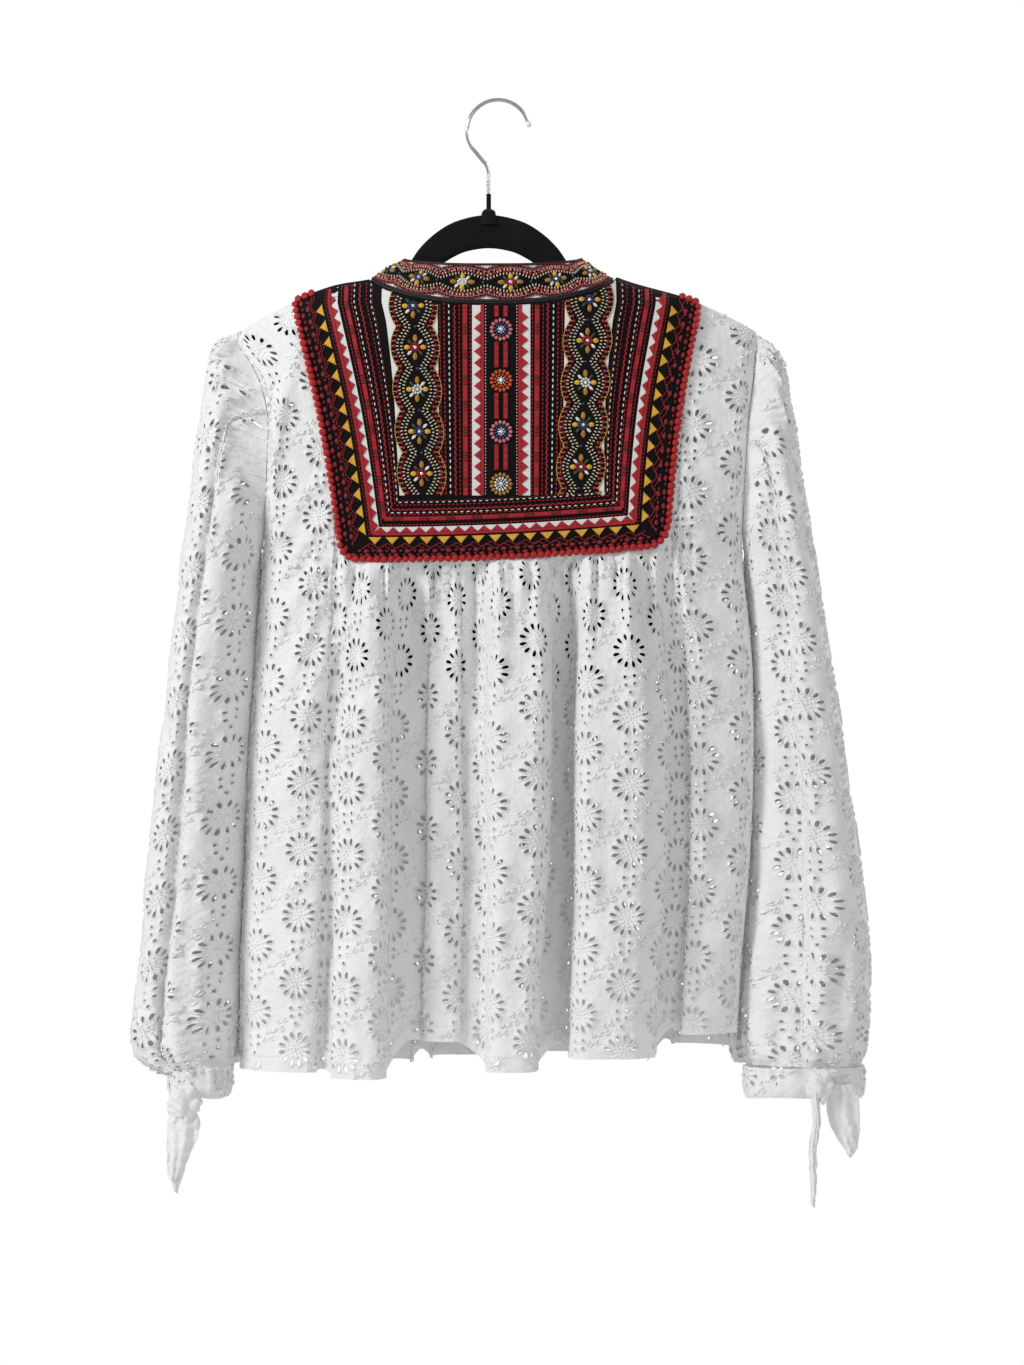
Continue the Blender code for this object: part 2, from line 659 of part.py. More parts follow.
def add_collar(colour):
    turns = np.linspace(-math.pi + COLLAR_OPEN, math.pi - COLLAR_OPEN, 45)
    upper, lower = [], []
    for turn in turns:
        base = collar_base(turn)
        to_side = math.sin(turn) ** 2
        ends = COLLAR_LEAN["back"] if math.cos(turn) > 0 else COLLAR_LEAN["front"]
        lean = ends + (COLLAR_LEAN["side"] - ends) * to_side
        inward = Vector((math.sin(turn), math.cos(turn) * 0.8, 0)).normalized()
        up = inward * math.sin(lean) + Vector((0, 0, math.cos(lean)))
        start = 2.6 * SEAM + YOKE_WALL / 2
        lower.append(base + up * start)
        upper.append(base + up * (start + COLLAR_HEIGHT))
    middle = [(a + b) / 2 for a, b in zip(upper, lower)]
    add_cloth("collar", [upper, middle, lower], colour, YOKE_WALL)


def trim_path(side):
    """The yoke's edge from the left shoulder, round the bottom, to the right shoulder."""
    grid = yoke_grid(side)
    down = [row[0] for row in grid]
    bottom = grid[-1][1:-1]
    up = [row[-1] for row in grid][::-1]
    return [Vector(p) for p in (*down, *bottom, *up)]


def add_trims(colour):
    for side, name in ((BACK, "trim_back"), (FRONT, "trim_front")):
        path = trim_path(side)
        lift = YOKE_WALL / 2 + SEAM + TRIM_RADIUS
        rings = []
        for i, point in enumerate(path):
            along = (path[min(i + 1, len(path) - 1)] - path[max(i - 1, 0)]).normalized()
            out = Vector((0, side, 0))
            out = (out - along * out.dot(along)).normalized()
            across = along.cross(out)
            centre = point + out * lift
            ring = [
                centre + (out * math.cos(a) + across * math.sin(a)) * TRIM_RADIUS
                for a in np.linspace(0, 2 * math.pi, 7)[:-1]
            ]
            rings.append(ring)
        add_object(name, tube_mesh(rings), colour, roughness=0.8)


def hanger_rings():
    """Rounded sections of the hanger's band from its left tip to its right tip."""
    rows = [dict(row, x=-row["x"]) for row in HANGER_ROWS[:0:-1]] + list(HANGER_ROWS)
    middles = np.array([(HANGER["centre"] + row["x"], row["z"]) for row in rows])
    slopes = np.gradient(middles, axis=0)
    half = HANGER["thick"] / 2
    rings = []
    for row, (x, z), (dx, dz) in zip(rows, middles, slopes):
        length = math.hypot(dx, dz)
        normal = (-dz / length, dx / length)
        ring = []
        for up, deep in ((1, 0.35), (0.8, 1), (-0.8, 1), (-1, 0.35)):
            ring.append((up, deep))
        loop = ring + [(up, -deep) for up, deep in reversed(ring)]
        tall = row["tall"] / 2
        rings.append(
            [(x + normal[0] * up * tall, deep * half, z + normal[1] * up * tall) for up, deep in loop]
        )
    return rings


def add_hanger(velvet, chrome):
    body = add_object("hanger_body", tube_mesh(hanger_rings()), velvet, roughness=0.95)
    boss = bmesh.new()
    profile = (
        (0.0, BOSS["top"]),
        (BOSS["radius"] * 0.55, BOSS["top"]),
        (BOSS["radius"] * 0.92, BOSS["top"] - 0.0022),
        (BOSS["radius"], BOSS["top"] - 0.0050),
        (BOSS["radius"] * 1.15, BOSS["top"] - BOSS["height"]),
        (0.0, BOSS["top"] - BOSS["height"]),
    )
    verts = [boss.verts.new((HANGER["centre"] + r, 0.0, z)) for r, z in profile]
    edges = [boss.edges.new(pair) for pair in zip(verts, verts[1:])]
    bmesh.ops.spin(
        boss,
        geom=verts + edges,
        cent=(HANGER["centre"], 0, 0),
        axis=(0, 0, 1),
        angle=2 * math.pi,
        steps=16,
        use_merge=True,
    )
    bmesh.ops.remove_doubles(boss, verts=boss.verts, dist=1e-6)
    bmesh.ops.recalc_face_normals(boss, faces=boss.faces)
    helper = add_object("boss_helper", boss, velvet, roughness=0.95)
    bore = bmesh.new()
    bmesh.ops.create_cone(
        bore,
        cap_ends=True,
        segments=12,
        radius1=WIRE + SEAM,
        radius2=WIRE + SEAM,
        depth=2 * SHANK_IN_BOSS + 2 * SEAM,
    )
    bmesh.ops.translate(bore, vec=(HANGER["centre"], 0, BOSS["top"]), verts=bore.verts)
    bore_helper = add_object("bore_helper", bore, velvet, roughness=0.95)
    for obj, operation in ((helper, "UNION"), (bore_helper, "DIFFERENCE")):
        obj.hide_render = True
        obj.display_type = "WIRE"
        cut = body.modifiers.new(operation.lower(), "BOOLEAN")
        cut.operation = operation
        cut.object = obj
    add_hook(chrome)


def hook_path():
    """Centre line of the wire, from its tip over the top to the shank's foot."""
    middle_z = WIRE - HOOK_RADIUS
    turns = np.linspace(HOOK_ENDS["tip"], HOOK_ENDS["shank"], 26)
    points = [(HOOK_RADIUS * math.cos(a), 0, middle_z + HOOK_RADIUS * math.sin(a)) for a in turns]
    end_x, _, end_z = points[-1]
    shank_x = HANGER["centre"]
    for share in (0.35, 0.7, 0.92):
        points.append((end_x + share * (shank_x - end_x), 0, end_z + share * (SHANK_BEND_Z - end_z)))
    points.append((shank_x, 0, SHANK_BEND_Z - 0.0022))
    points.append((shank_x, 0, BOSS["top"]))
    points.append((shank_x, 0, BOSS["top"] - SHANK_IN_BOSS))
    return points


def add_hook(chrome):
    path = hook_path()
    curve = bpy.data.curves.new("hanger_hook", "CURVE")
    curve.dimensions = "3D"
    curve.bevel_depth = WIRE
    curve.bevel_resolution = 2
    curve.use_fill_caps = True
    spline = curve.splines.new("POLY")
    spline.points.add(len(path) - 1)
    for point, place in zip(spline.points, path):
        point.co = (*place, 1.0)
    obj = bpy.data.objects.new("hanger_hook", curve)
    bpy.context.scene.collection.objects.link(obj)
    material = bpy.data.materials.new("hanger_hook")
    material.use_nodes = True
    shader = material.node_tree.nodes["Principled BSDF"]
    shader.inputs["Base Color"].default_value = (*chrome, 1.0)
    shader.inputs["Roughness"].default_value = 0.15
    shader.inputs["Metallic"].default_value = 1.0
    curve.materials.append(material)
    tip, after = Vector(path[0]), Vector(path[1])
    along = (tip - after).normalized()
    bm = bmesh.new()
    bmesh.ops.create_uvsphere(bm, u_segments=12, v_segments=8, radius=0.0024)
    place = tip + along * (0.0024 + SEAM)
    bmesh.ops.translate(bm, vec=place, verts=bm.verts)
    add_object("hanger_tip", bm, (0.85, 0.87, 0.88), roughness=0.35)


def main():
    for obj in list(bpy.data.objects):
        bpy.data.objects.remove(obj)
    cotton = (0.86, 0.88, 0.88)
    embroidery = (0.09, 0.01, 0.015)
    add_yokes(embroidery)
    add_collar((0.22, 0.04, 0.05))
    add_trims((0.55, 0.01, 0.02))
    add_bodies(cotton)
    add_sleeves(cotton)
    add_ties(cotton)
    add_hanger(velvet=(0.01, 0.01, 0.012), chrome=(0.75, 0.76, 0.78))


main()
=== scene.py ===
# Peasant blouse of eyelet cotton with embroidered yokes, hanging on a velvet hanger. Metres, +Z up.
import math

import bmesh
import bpy
import numpy as np
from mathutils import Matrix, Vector, geometry, noise


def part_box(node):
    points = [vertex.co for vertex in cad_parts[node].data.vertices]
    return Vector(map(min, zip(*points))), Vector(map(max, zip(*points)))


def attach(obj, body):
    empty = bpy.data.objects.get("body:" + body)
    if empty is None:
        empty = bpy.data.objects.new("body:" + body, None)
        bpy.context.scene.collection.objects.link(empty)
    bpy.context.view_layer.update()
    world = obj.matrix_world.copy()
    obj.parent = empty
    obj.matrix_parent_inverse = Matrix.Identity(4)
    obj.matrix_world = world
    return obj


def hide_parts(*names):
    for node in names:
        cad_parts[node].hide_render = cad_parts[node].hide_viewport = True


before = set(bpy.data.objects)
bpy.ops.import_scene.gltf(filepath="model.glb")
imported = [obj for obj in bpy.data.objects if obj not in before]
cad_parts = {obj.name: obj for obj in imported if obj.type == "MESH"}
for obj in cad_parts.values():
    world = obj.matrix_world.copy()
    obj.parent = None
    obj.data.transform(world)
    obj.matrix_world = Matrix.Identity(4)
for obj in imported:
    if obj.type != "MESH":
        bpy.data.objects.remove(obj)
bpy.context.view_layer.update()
print("frame loaded")

back, front = -1, 1
tau = 2 * math.pi


def table(names, *rows):
    return tuple(dict(zip(names.split(), row)) for row in rows)


def pillar(*columns):
    # columns of numbers side by side, single numbers repeated
    return np.column_stack(np.broadcast_arrays(*columns))


def lengthsOf(steps):
    return np.linalg.norm(steps, axis=-1)


def runOf(line):
    # distance along a line of points
    return np.concatenate([[0], np.cumsum(lengthsOf(np.diff(line, axis=0)))])


# the blouse's form, the same as the solids'
form = dict(
    wall=0.0012,
    yokeWall=0.0018,
    seam=0.0003,
    depth=0.034,
    armholeOpen=0.021,
    ridgeRound=0.024,
    shoulderZ=-0.1885,
    underarmZ=-0.36,
    neckCentre=-0.004,
    neckHalf=0.0985,
    neckSideZ=-0.143,
    neckMiddleZ={back: -0.1655, front: -0.215},
    yokeCorner=0.014,
)
ridgeRows = table(
    "x z",
    (-0.26, -0.22), (-0.213, -0.188), (-0.165, -0.1612), (-0.133, -0.149), (-0.098, -0.1424),
    (-0.05, -0.122), (0.0, -0.112), (0.05, -0.122), (0.098, -0.143), (0.165, -0.1636),
    (0.213, -0.188), (0.26, -0.22),
)
bodyEdgeRows = table(
    "z left right",
    (-0.1885, -0.2152, 0.2096), (-0.2208, -0.1936, 0.2056), (-0.252, -0.1845, 0.2012),
    (-0.293, -0.1848, 0.198), (-0.36, -0.1888, 0.1967), (-0.45, -0.1955, 0.2048),
    (-0.53, -0.2012, 0.206), (-0.613, -0.2036, 0.2028), (-0.694, -0.2077, 0.196),
    (-0.79, -0.2085, 0.1904),
)
yokeRows = {
    back: table(
        "z half centre",
        (-0.164, 0.1622, -0.001), (-0.25, 0.1436, 0.001), (-0.307, 0.1352, 0.0028),
        (-0.356, 0.13, 0.0045),
    ),
    front: table(
        "z half centre",
        (-0.164, 0.1622, -0.001), (-0.25, 0.1465, 0.0), (-0.35, 0.133, 0.0),
        (-0.452, 0.124, 0.0),
    ),
}
yokeBottom = {
    back: dict(middle=-0.3677, slope=0.044, bend=0.234),
    front: dict(middle=-0.465, slope=0.0, bend=0.16),
}


def smooth(t):
    t = np.clip(t, 0.0, 1.0)
    return t * t * (3 - 2 * t)


def column(rows, name):
    return np.array([row[name] for row in rows], float)


def follow(rows, at, name, value):
    # a table's column as a smooth curve of another column
    xs, ys = column(rows, at), column(rows, name)
    if xs[0] > xs[-1]:
        xs, ys = xs[::-1], ys[::-1]
    slopes = np.gradient(ys, xs)
    x = np.clip(value, xs[0], xs[-1])
    i = np.clip(np.searchsorted(xs, x) - 1, 0, len(xs) - 2)
    run = xs[i + 1] - xs[i]
    t = (x - xs[i]) / run
    keep = (2 * t**3 - 3 * t**2 + 1) * ys[i] + (3 * t**2 - 2 * t**3) * ys[i + 1]
    lean = (t**3 - 2 * t**2 + t) * slopes[i] + (t**3 - t**2) * slopes[i + 1]
    return keep + run * lean


def through(points, at, closed=False):
    # a Catmull-Rom curve through the points, read at index positions
    points = np.asarray(points, float)
    count = len(points)
    i = np.floor(at).astype(int)
    if not closed:
        i = np.clip(i, 0, count - 2)
    t = (at - i).reshape(-1, *[1] * (points.ndim - 1))

    def point(k):
        return points[k % count] if closed else points[np.clip(k, 0, count - 1)]

    a, b, c, d = point(i - 1), point(i), point(i + 1), point(i + 2)
    return b + 0.5 * t * (c - a + t * (2 * a - 5 * b + 4 * c - d + t * (3 * (b - c) + d - a)))


def spreadEvenly(points, count, closed=False):
    # index positions that share a curve's length evenly, and that length
    points = np.asarray(points, float)
    if closed:
        points = np.vstack([points, points[:1]])
    fine = np.linspace(0, len(points) - 1, 40 * len(points) + 1)
    curve = through(points, fine)
    run = runOf(curve)
    return np.interp(np.linspace(0, run[-1], count), run, fine), run[-1]


def ridgeZ(x):
    return follow(ridgeRows, "x", "z", x)


def bodyEdges(z):
    return follow(bodyEdgeRows, "z", "left", z), follow(bodyEdgeRows, "z", "right", z)


def armholeDepth(z):
    share = np.clip((form["shoulderZ"] - z) / (form["shoulderZ"] - form["underarmZ"]), 0, 1)
    return form["armholeOpen"] * np.sin(math.pi * share)


def torsoDepth(x, z):
    left, right = bodyEdges(z)
    across = np.clip(np.abs((2 * x - left - right) / (right - left)), 0, 1)
    edge = armholeDepth(z)
    full = edge + (form["depth"] - edge) * np.sqrt(1 - across**4)
    return full * (1 - np.exp(-np.maximum(ridgeZ(x) - z, 0) / form["ridgeRound"]))


def neckZ(side, x):
    across = np.clip(np.abs((x - form["neckCentre"]) / form["neckHalf"]), 0, 1)
    dip = (form["neckMiddleZ"][side] - form["neckSideZ"]) * (1 - across**2.6) ** 0.8
    return form["neckSideZ"] + dip


def yokeSide(side, z):
    rows = yokeRows[side]
    return follow(rows, "z", "centre", z), follow(rows, "z", "half", z)


def yokeTopZ(side, x):
    onNeck = np.abs(x - form["neckCentre"]) < form["neckHalf"]
    return np.where(onNeck, neckZ(side, x) - form["seam"] - form["yokeWall"] / 2, ridgeZ(x) - form["seam"])


def yokeBottomZ(side, x):
    edge = yokeBottom[side]
    z = edge["middle"] + edge["slope"] * x + edge["bend"] * x * x
    centre, half = yokeSide(side, z)
    corner = form["yokeCorner"]
    past = np.maximum(0.0, np.abs(x - centre) - (half - corner))
    return z + corner - np.sqrt(np.maximum(corner**2 - past**2, 0.0))


# camera, floor and light
view = dict(centre=(0.0112, -0.4684), frameTall=1.092, lens=90.0, scalePlane=-0.022)
stage = dict(floorZ=-1.3, radius=1.05, colour=(0.93, 0.935, 0.94), shown=1.0, ambient=0.44)
lights = table(
    "name at aim size power",
    ("keyWindow", (-2.3, -1.5, 0.9), (0, 0, -0.45), 0.9, 59),
    ("fillWindow", (1.6, -2.6, 0.3), (0, 0, -0.5), 2.2, 15),
    ("rimBack", (1.9, 1.9, 0.9), (0, 0, -0.5), 1.4, 34),
)


def addCamera():
    data = bpy.data.cameras.new("camera")
    data.lens = view["lens"]
    data.sensor_width = 36.0
    camera = bpy.data.objects.new("camera", data)
    distance = view["frameTall"] * view["lens"] / 36.0
    camera.location = (view["centre"][0], view["scalePlane"] - distance, view["centre"][1])
    camera.rotation_euler = (math.pi / 2, 0, 0)
    bpy.context.scene.collection.objects.link(camera)
    bpy.context.scene.camera = camera


def addStage():
    bm = bmesh.new()
    bmesh.ops.create_circle(bm, cap_ends=True, segments=96, radius=stage["radius"])
    bmesh.ops.translate(bm, vec=(0, 0, stage["floorZ"]), verts=bm.verts)
    floor = meshObject("floor", bm)
    floor.data.materials.append(plainMaterial("floorPaint", stage["colour"], 0.7))
    world = bpy.data.worlds.new("studio")
    world.use_nodes = True
    nodes, links = world.node_tree.nodes, world.node_tree.links
    seen, glow = nodes["Background"], nodes.new("ShaderNodeBackground")
    for backdrop, strength in ((seen, stage["shown"]), (glow, stage["ambient"])):
        backdrop.inputs["Color"].default_value = (1.0, 1.0, 1.0, 1.0)
        backdrop.inputs["Strength"].default_value = strength
    path, mix = nodes.new("ShaderNodeLightPath"), nodes.new("ShaderNodeMixShader")
    links.new(path.outputs["Is Camera Ray"], mix.inputs["Fac"])
    links.new(glow.outputs["Background"], mix.inputs[1])
    links.new(seen.outputs["Background"], mix.inputs[2])
    links.new(mix.outputs["Shader"], nodes["World Output"].inputs["Surface"])
    bpy.context.scene.world = world
    bpy.context.scene.view_settings.view_transform = "Standard"
    for light in lights:
        data = bpy.data.lights.new(light["name"], "AREA")
        data.shape = "DISK"
        data.size = light["size"]
        data.energy = light["power"]
        lamp = bpy.data.objects.new(light["name"], data)
        lamp.location = light["at"]
        aim = Vector(light["aim"]) - Vector(light["at"])
        lamp.rotation_euler = aim.to_track_quat("-Z", "Y").to_euler()
        bpy.context.scene.collection.objects.link(lamp)


# objects and materials
def smoothObject(name, mesh, smoothAngle):
    mesh.shade_smooth()
    if smoothAngle:
        mesh.set_sharp_from_angle(angle=math.radians(smoothAngle))
    obj = bpy.data.objects.new(name, mesh)
    bpy.context.scene.collection.objects.link(obj)
    return obj


def meshObject(name, bm, smoothAngle=40):
    mesh = bpy.data.meshes.new(name)
    bm.to_mesh(mesh)
    bm.free()
    return smoothObject(name, mesh, smoothAngle)


def arrayObject(name, points, faces, smoothAngle=0):
    mesh = bpy.data.meshes.new(name)
    mesh.from_pydata(points.tolist(), [], faces)
    return smoothObject(name, mesh, smoothAngle)


def dress(obj, material, slot, *nodes):
    # material, body and the solids it stands for; the finish slot is not used
    obj.data.materials.clear()
    obj.data.materials.append(material)
    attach(obj, "root")
    if nodes:
        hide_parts(*nodes)
    return obj


def newMaterial(name):
    material = bpy.data.materials.new(name)
    material.use_nodes = True
    nodes = material.node_tree.nodes
    return material, nodes, material.node_tree.links, nodes["Principled BSDF"]


def setInputs(node, **values):
    # socket values by name, a space written as _
    for name, value in values.items():
        node.inputs[name.replace("_", " ")].default_value = value


def plainMaterial(name, colour, roughness):
    material, _, _, shader = newMaterial(name)
    setInputs(shader, Base_Color=(*colour, 1.0), Roughness=roughness)
    return material


def texture(nodes, links, kind, vector=None, direction="X", **values):
    # a noise, wave or cell texture over the object, or over another vector
    node = nodes.new("ShaderNodeTex" + kind)
    if kind == "Wave":
        node.bands_direction = direction
    setInputs(node, **values)
    vector = vector or nodes.new("ShaderNodeTexCoord").outputs["Object"]
    links.new(vector, node.inputs["Vector"])
    return node.outputs["Distance" if kind == "Voronoi" else "Fac"]


def mixColour(nodes, links, factor, dark, light, ends=(0.0, 1.0)):
    # a colour between two, by a socket
    ramp = nodes.new("ShaderNodeValToRGB")
    for element, colour, at in zip(ramp.color_ramp.elements, (dark, light), ends):
        element.color = (*colour, 1.0)
        element.position = at
    links.new(factor, ramp.inputs["Fac"])
    return ramp.outputs["Color"]


def bumpChain(nodes, links, shader, layers):
    # layers: (height socket, strength, distance), one bump on another
    normal = None
    for height, strength, distance in layers:
        bump = nodes.new("ShaderNodeBump")
        setInputs(bump, Strength=strength, Distance=distance)
        links.new(height, bump.inputs["Height"])
        if normal:
            links.new(normal, bump.inputs["Normal"])
        normal = bump.outputs["Normal"]
    links.new(normal, shader.inputs["Normal"])


wavesPerMetre = 0.314  # a wave texture of scale 1 repeats this often
cotton = dict(
    colour=(0.85, 0.86, 0.86),
    thread=(0.9, 0.905, 0.9),
    tint=(0.8, 0.82, 0.815),
    weavePitch=0.0009,
    through=0.06,  # share of the light that comes through the cloth
)


def cottonMaterial():
    material, nodes, links, shader = newMaterial("cotton")
    place = nodes.new("ShaderNodeTexCoord").outputs["Object"]
    uv = nodes.new("ShaderNodeUVMap")
    uv.uv_map = "cut"
    cloud = texture(nodes, links, "Noise", place, Scale=22.0, Detail=3.0)
    base = mixColour(nodes, links, cloud, cotton["tint"], cotton["colour"], (0.3, 0.6))
    stitched = nodes.new("ShaderNodeAttribute")
    stitched.attribute_name = "stitched"
    paint = nodes.new("ShaderNodeMix")
    paint.data_type = "RGBA"
    links.new(stitched.outputs["Fac"], paint.inputs["Factor"])
    links.new(base, paint.inputs["A"])
    setInputs(paint, B=(*cotton["thread"], 1.0))
    links.new(paint.outputs["Result"], shader.inputs["Base Color"])
    setInputs(shader, Roughness=0.82, Sheen_Weight=0.15, Sheen_Roughness=0.5, Specular_IOR_Level=0.25)
    crumple = texture(nodes, links, "Noise", place, Scale=130.0, Detail=4.0, Roughness=0.6)
    layers = [(crumple, 0.75, 0.0022)]
    for direction in ("X", "Y"):
        grain = dict(Scale=wavesPerMetre / cotton["weavePitch"], Distortion=1.2, Detail=1.0)
        yarn = texture(nodes, links, "Wave", uv.outputs["UV"], direction, **grain)
        layers.append((yarn, 0.22, 0.0002))
    bumpChain(nodes, links, shader, layers)
    behind = nodes.new("ShaderNodeBsdfTranslucent")
    setInputs(behind, Color=(0.86, 0.88, 0.85, 1.0))
    mix = nodes.new("ShaderNodeMixShader")
    setInputs(mix, Fac=cotton["through"])
    links.new(shader.outputs["BSDF"], mix.inputs[1])
    links.new(behind.outputs["BSDF"], mix.inputs[2])
    links.new(mix.outputs["Shader"], nodes["Material Output"].inputs["Surface"])
    return material


def threadMaterial(name, colour, dark):
    # twisted embroidery floss: fine diagonal strands with painted shade in the gaps between them, and random
    # darker spots
    material, nodes, links, shader = newMaterial(name)
    place = nodes.new("ShaderNodeTexCoord").outputs["Object"]
    turn = nodes.new("ShaderNodeMapping")
    setInputs(turn, Rotation=(0.5, 0.7, 0.4))
    links.new(place, turn.inputs["Vector"])
    twist = dict(Scale=wavesPerMetre / 0.0007, Distortion=2.5, Detail=2.0)
    strandsAndGapShade = texture(nodes, links, "Wave", turn.outputs["Vector"], **twist)
    spots = texture(nodes, links, "Noise", place, Scale=260.0, Detail=3.0)
    both = nodes.new("ShaderNodeMath")
    both.operation = "MULTIPLY_ADD"
    both.inputs[1].default_value = 0.45
    links.new(strandsAndGapShade, both.inputs[0])
    links.new(spots, both.inputs[2])
    # the dark colour is painted shade in the strand gaps, and random tone in the spots
    paint = mixColour(nodes, links, both.outputs["Value"], dark, colour, (0.28, 0.75))
    links.new(paint, shader.inputs["Base Color"])
    setInputs(shader, Roughness=0.62, Sheen_Weight=0.05, Sheen_Roughness=0.4)
    bumpChain(nodes, links, shader, [(spots, 0.5, 0.0006), (strandsAndGapShade, 0.6, 0.0003)])
    return material


def clothForm(points, width, top, low):
    # dense points of a piece of cloth, indexed by its flat width and height, with normals
    alongS = np.gradient(points, axis=0)
    alongT = -np.gradient(points, axis=1)
    normals = np.cross(alongS, alongT)
    normals /= np.maximum(np.linalg.norm(normals, axis=2, keepdims=True), 1e-12)
    return dict(points=points, normals=normals, width=width, top=top, low=low)


def layOn(cloth, s, t, lift=0.0):
    # flat place (s, t) and height over the cloth, as a point in space
    countS, countT = cloth["points"].shape[:2]
    i = np.clip(s / cloth["width"] * (countS - 1), 0, countS - 1.0001)
    j = np.clip((cloth["top"] - t) / (cloth["top"] - cloth["low"]) * (countT - 1), 0, countT - 1.0001)
    i0, j0 = i.astype(int), j.astype(int)
    u, v = (i - i0)[:, None], (j - j0)[:, None]

    def mixed(values):
        upper = values[i0, j0] * (1 - u) + values[i0 + 1, j0] * u
        lower = values[i0, j0 + 1] * (1 - u) + values[i0 + 1, j0 + 1] * u
        return upper * (1 - v) + lower * v

    normal = mixed(cloth["normals"])
    normal /= np.maximum(np.linalg.norm(normal, axis=1, keepdims=True), 1e-12)
    return mixed(cloth["points"]) + normal * np.reshape(lift, (-1, 1))


# small shapes that are stamped many times: points and faces
def shapeOf(bm):
    bm.verts.ensure_lookup_table()
    points = np.array([v.co[:] for v in bm.verts])
    faces = [[v.index for v in f.verts] for f in bm.faces]
    bm.free()
    return points, faces


def openBelow(bm):
    # takes away the face that lies on the cloth
    low = [f for f in bm.faces if f.calc_center_median().z < 0.01]
    bmesh.ops.delete(bm, geom=low, context="FACES_ONLY")


def raiseFace(bm, shrink, middle=0.0):
    # lifts a flat face by one, smaller at the top, and leaves it open below
    top = bmesh.ops.extrude_face_region(bm, geom=bm.faces[:])
    verts = [v for v in top["geom"] if isinstance(v, bmesh.types.BMVert)]
    bmesh.ops.translate(bm, vec=(0, -middle, 1), verts=verts)
    bmesh.ops.scale(bm, vec=(shrink, shrink, 1), verts=verts)
    bmesh.ops.translate(bm, vec=(0, middle, 0), verts=verts)
    openBelow(bm)
    bmesh.ops.recalc_face_normals(bm, faces=bm.faces)
    bm.normal_update()
    if max(bm.faces, key=lambda f: f.calc_center_median().z).normal.z < 0:
        bmesh.ops.reverse_faces(bm, faces=bm.faces)
    return shapeOf(bm)


def stitchShape(sides, shoulder=0.62):
    # one satin stitch: unit long and wide, rounded over
    bm = bmesh.new()
    bmesh.ops.create_circle(bm, cap_ends=True, segments=sides, radius=0.5)
    return raiseFace(bm, shoulder)


def toothShape():
    # a triangle: base on y = 0 from -0.5 to 0.5, point at y = 1
    bm = bmesh.new()
    bm.faces.new([bm.verts.new(p) for p in ((-0.5, 0, 0), (0.5, 0, 0), (0, 1, 0))])
    return raiseFace(bm, 0.8, 0.33)


def beadShape():
    # upper part of a ball, unit wide and unit tall
    bm = bmesh.new()
    bmesh.ops.create_uvsphere(bm, u_segments=6, v_segments=6, radius=0.5)
    bmesh.ops.scale(bm, vec=(1, 1, 2), verts=bm.verts)
    geom = bm.verts[:] + bm.edges[:] + bm.faces[:]
    bmesh.ops.bisect_plane(bm, geom=geom, plane_co=(0, 0, -0.05), plane_no=(0, 0, 1), clear_inner=True)
    return shapeOf(bm)


def blockShape():
    # a short length of satin ribbon
    bm = bmesh.new()
    bmesh.ops.create_cube(bm, size=1.0)
    bmesh.ops.translate(bm, vec=(0, 0, 0.5), verts=bm.verts)
    upper = [v for v in bm.verts if v.co.z > 0.5]
    bmesh.ops.scale(bm, vec=(0.94, 0.7, 1), verts=upper)
    openBelow(bm)
    return shapeOf(bm)


def ballShape():
    # a crocheted ball
    bm = bmesh.new()
    bmesh.ops.create_icosphere(bm, subdivisions=2, radius=0.5)
    for vert in bm.verts:
        vert.co *= 1 + 0.1 * noise.noise(vert.co * 9)
    return shapeOf(bm)


shapes = dict(stitch=stitchShape(5), leafLine=stitchShape(4, 0.55), seed=stitchShape(4, 0.5))
shapes.update(bead=beadShape(), block=blockShape(), tooth=toothShape(), ball=ballShape())


def stampMany(shape, places, lay):
    # places: rows of x, y, turn, length, width, height, and the height it starts at
    points, faces = shapes[shape]
    places = np.asarray(places, float).reshape(-1, 7)
    x, y, turn, long, wide, tall, start = places.T[:, :, None]
    u, v = points[None, :, 0] * long, points[None, :, 1] * wide
    w = start + points[None, :, 2] * tall
    across = x + u * np.cos(turn) - v * np.sin(turn)
    up = y + u * np.sin(turn) + v * np.cos(turn)
    laid = lay(across.ravel(), up.ravel(), w.ravel())
    shift = len(points)
    allFaces = [[i + k * shift for i in face] for k in range(len(places)) for face in faces]
    return laid, allFaces


def joinParts(parts):
    points, faces, shift = [], [], 0
    for partPoints, partFaces in parts:
        points.append(partPoints)
        faces += [[i + shift for i in face] for face in partFaces]
        shift += len(partPoints)
    return np.vstack(points), faces


print("small shapes ready")

# the eyelet cloth: flowers of cut petals in staggered columns, with small eyelets and leaves between
eyelet = dict(
    columnPitch=0.0335,
    flowerPitch=0.053,
    stagger=0.46,
    petals=12,
    petalAt=0.011,
    petalLong=0.0054,
    petalWide=0.0026,
    dotWide=0.0023,
    rimWide=0.00055,
    rimTall=0.00095,
    edgeMargin=0.0012,
    dots=((-0.004, 0.0058), (0.0032, 0.0068), (-0.0034, -0.0006), (0.0032, 0.0006), (0.0, -0.0064)),
    gridS=0.0035,
    gridT=0.0072,
)
# leaves, each a pair of curved satin lines, and stems of one repeat, from the middle of the eyelets
sprig = table(
    "x y turn long open",
    (0.0085, 0.004, 0.8, 0.0066, 0.0034), (0.0138, 0.0052, 0.3, 0.0056, 0.003),
    (0.0112, 0.0108, 1.3, 0.006, 0.003), (0.016, 0.0118, 0.72, 0.0072, 0.0),
    (0.0212, 0.0148, 0.4, 0.0062, 0.0), (-0.0085, -0.004, 0.8, 0.0066, 0.0034),
    (-0.014, -0.0056, 0.35, 0.0056, 0.003), (-0.011, -0.0116, 1.25, 0.006, 0.003),
    (-0.0164, -0.0128, 0.74, 0.007, 0.0),
)


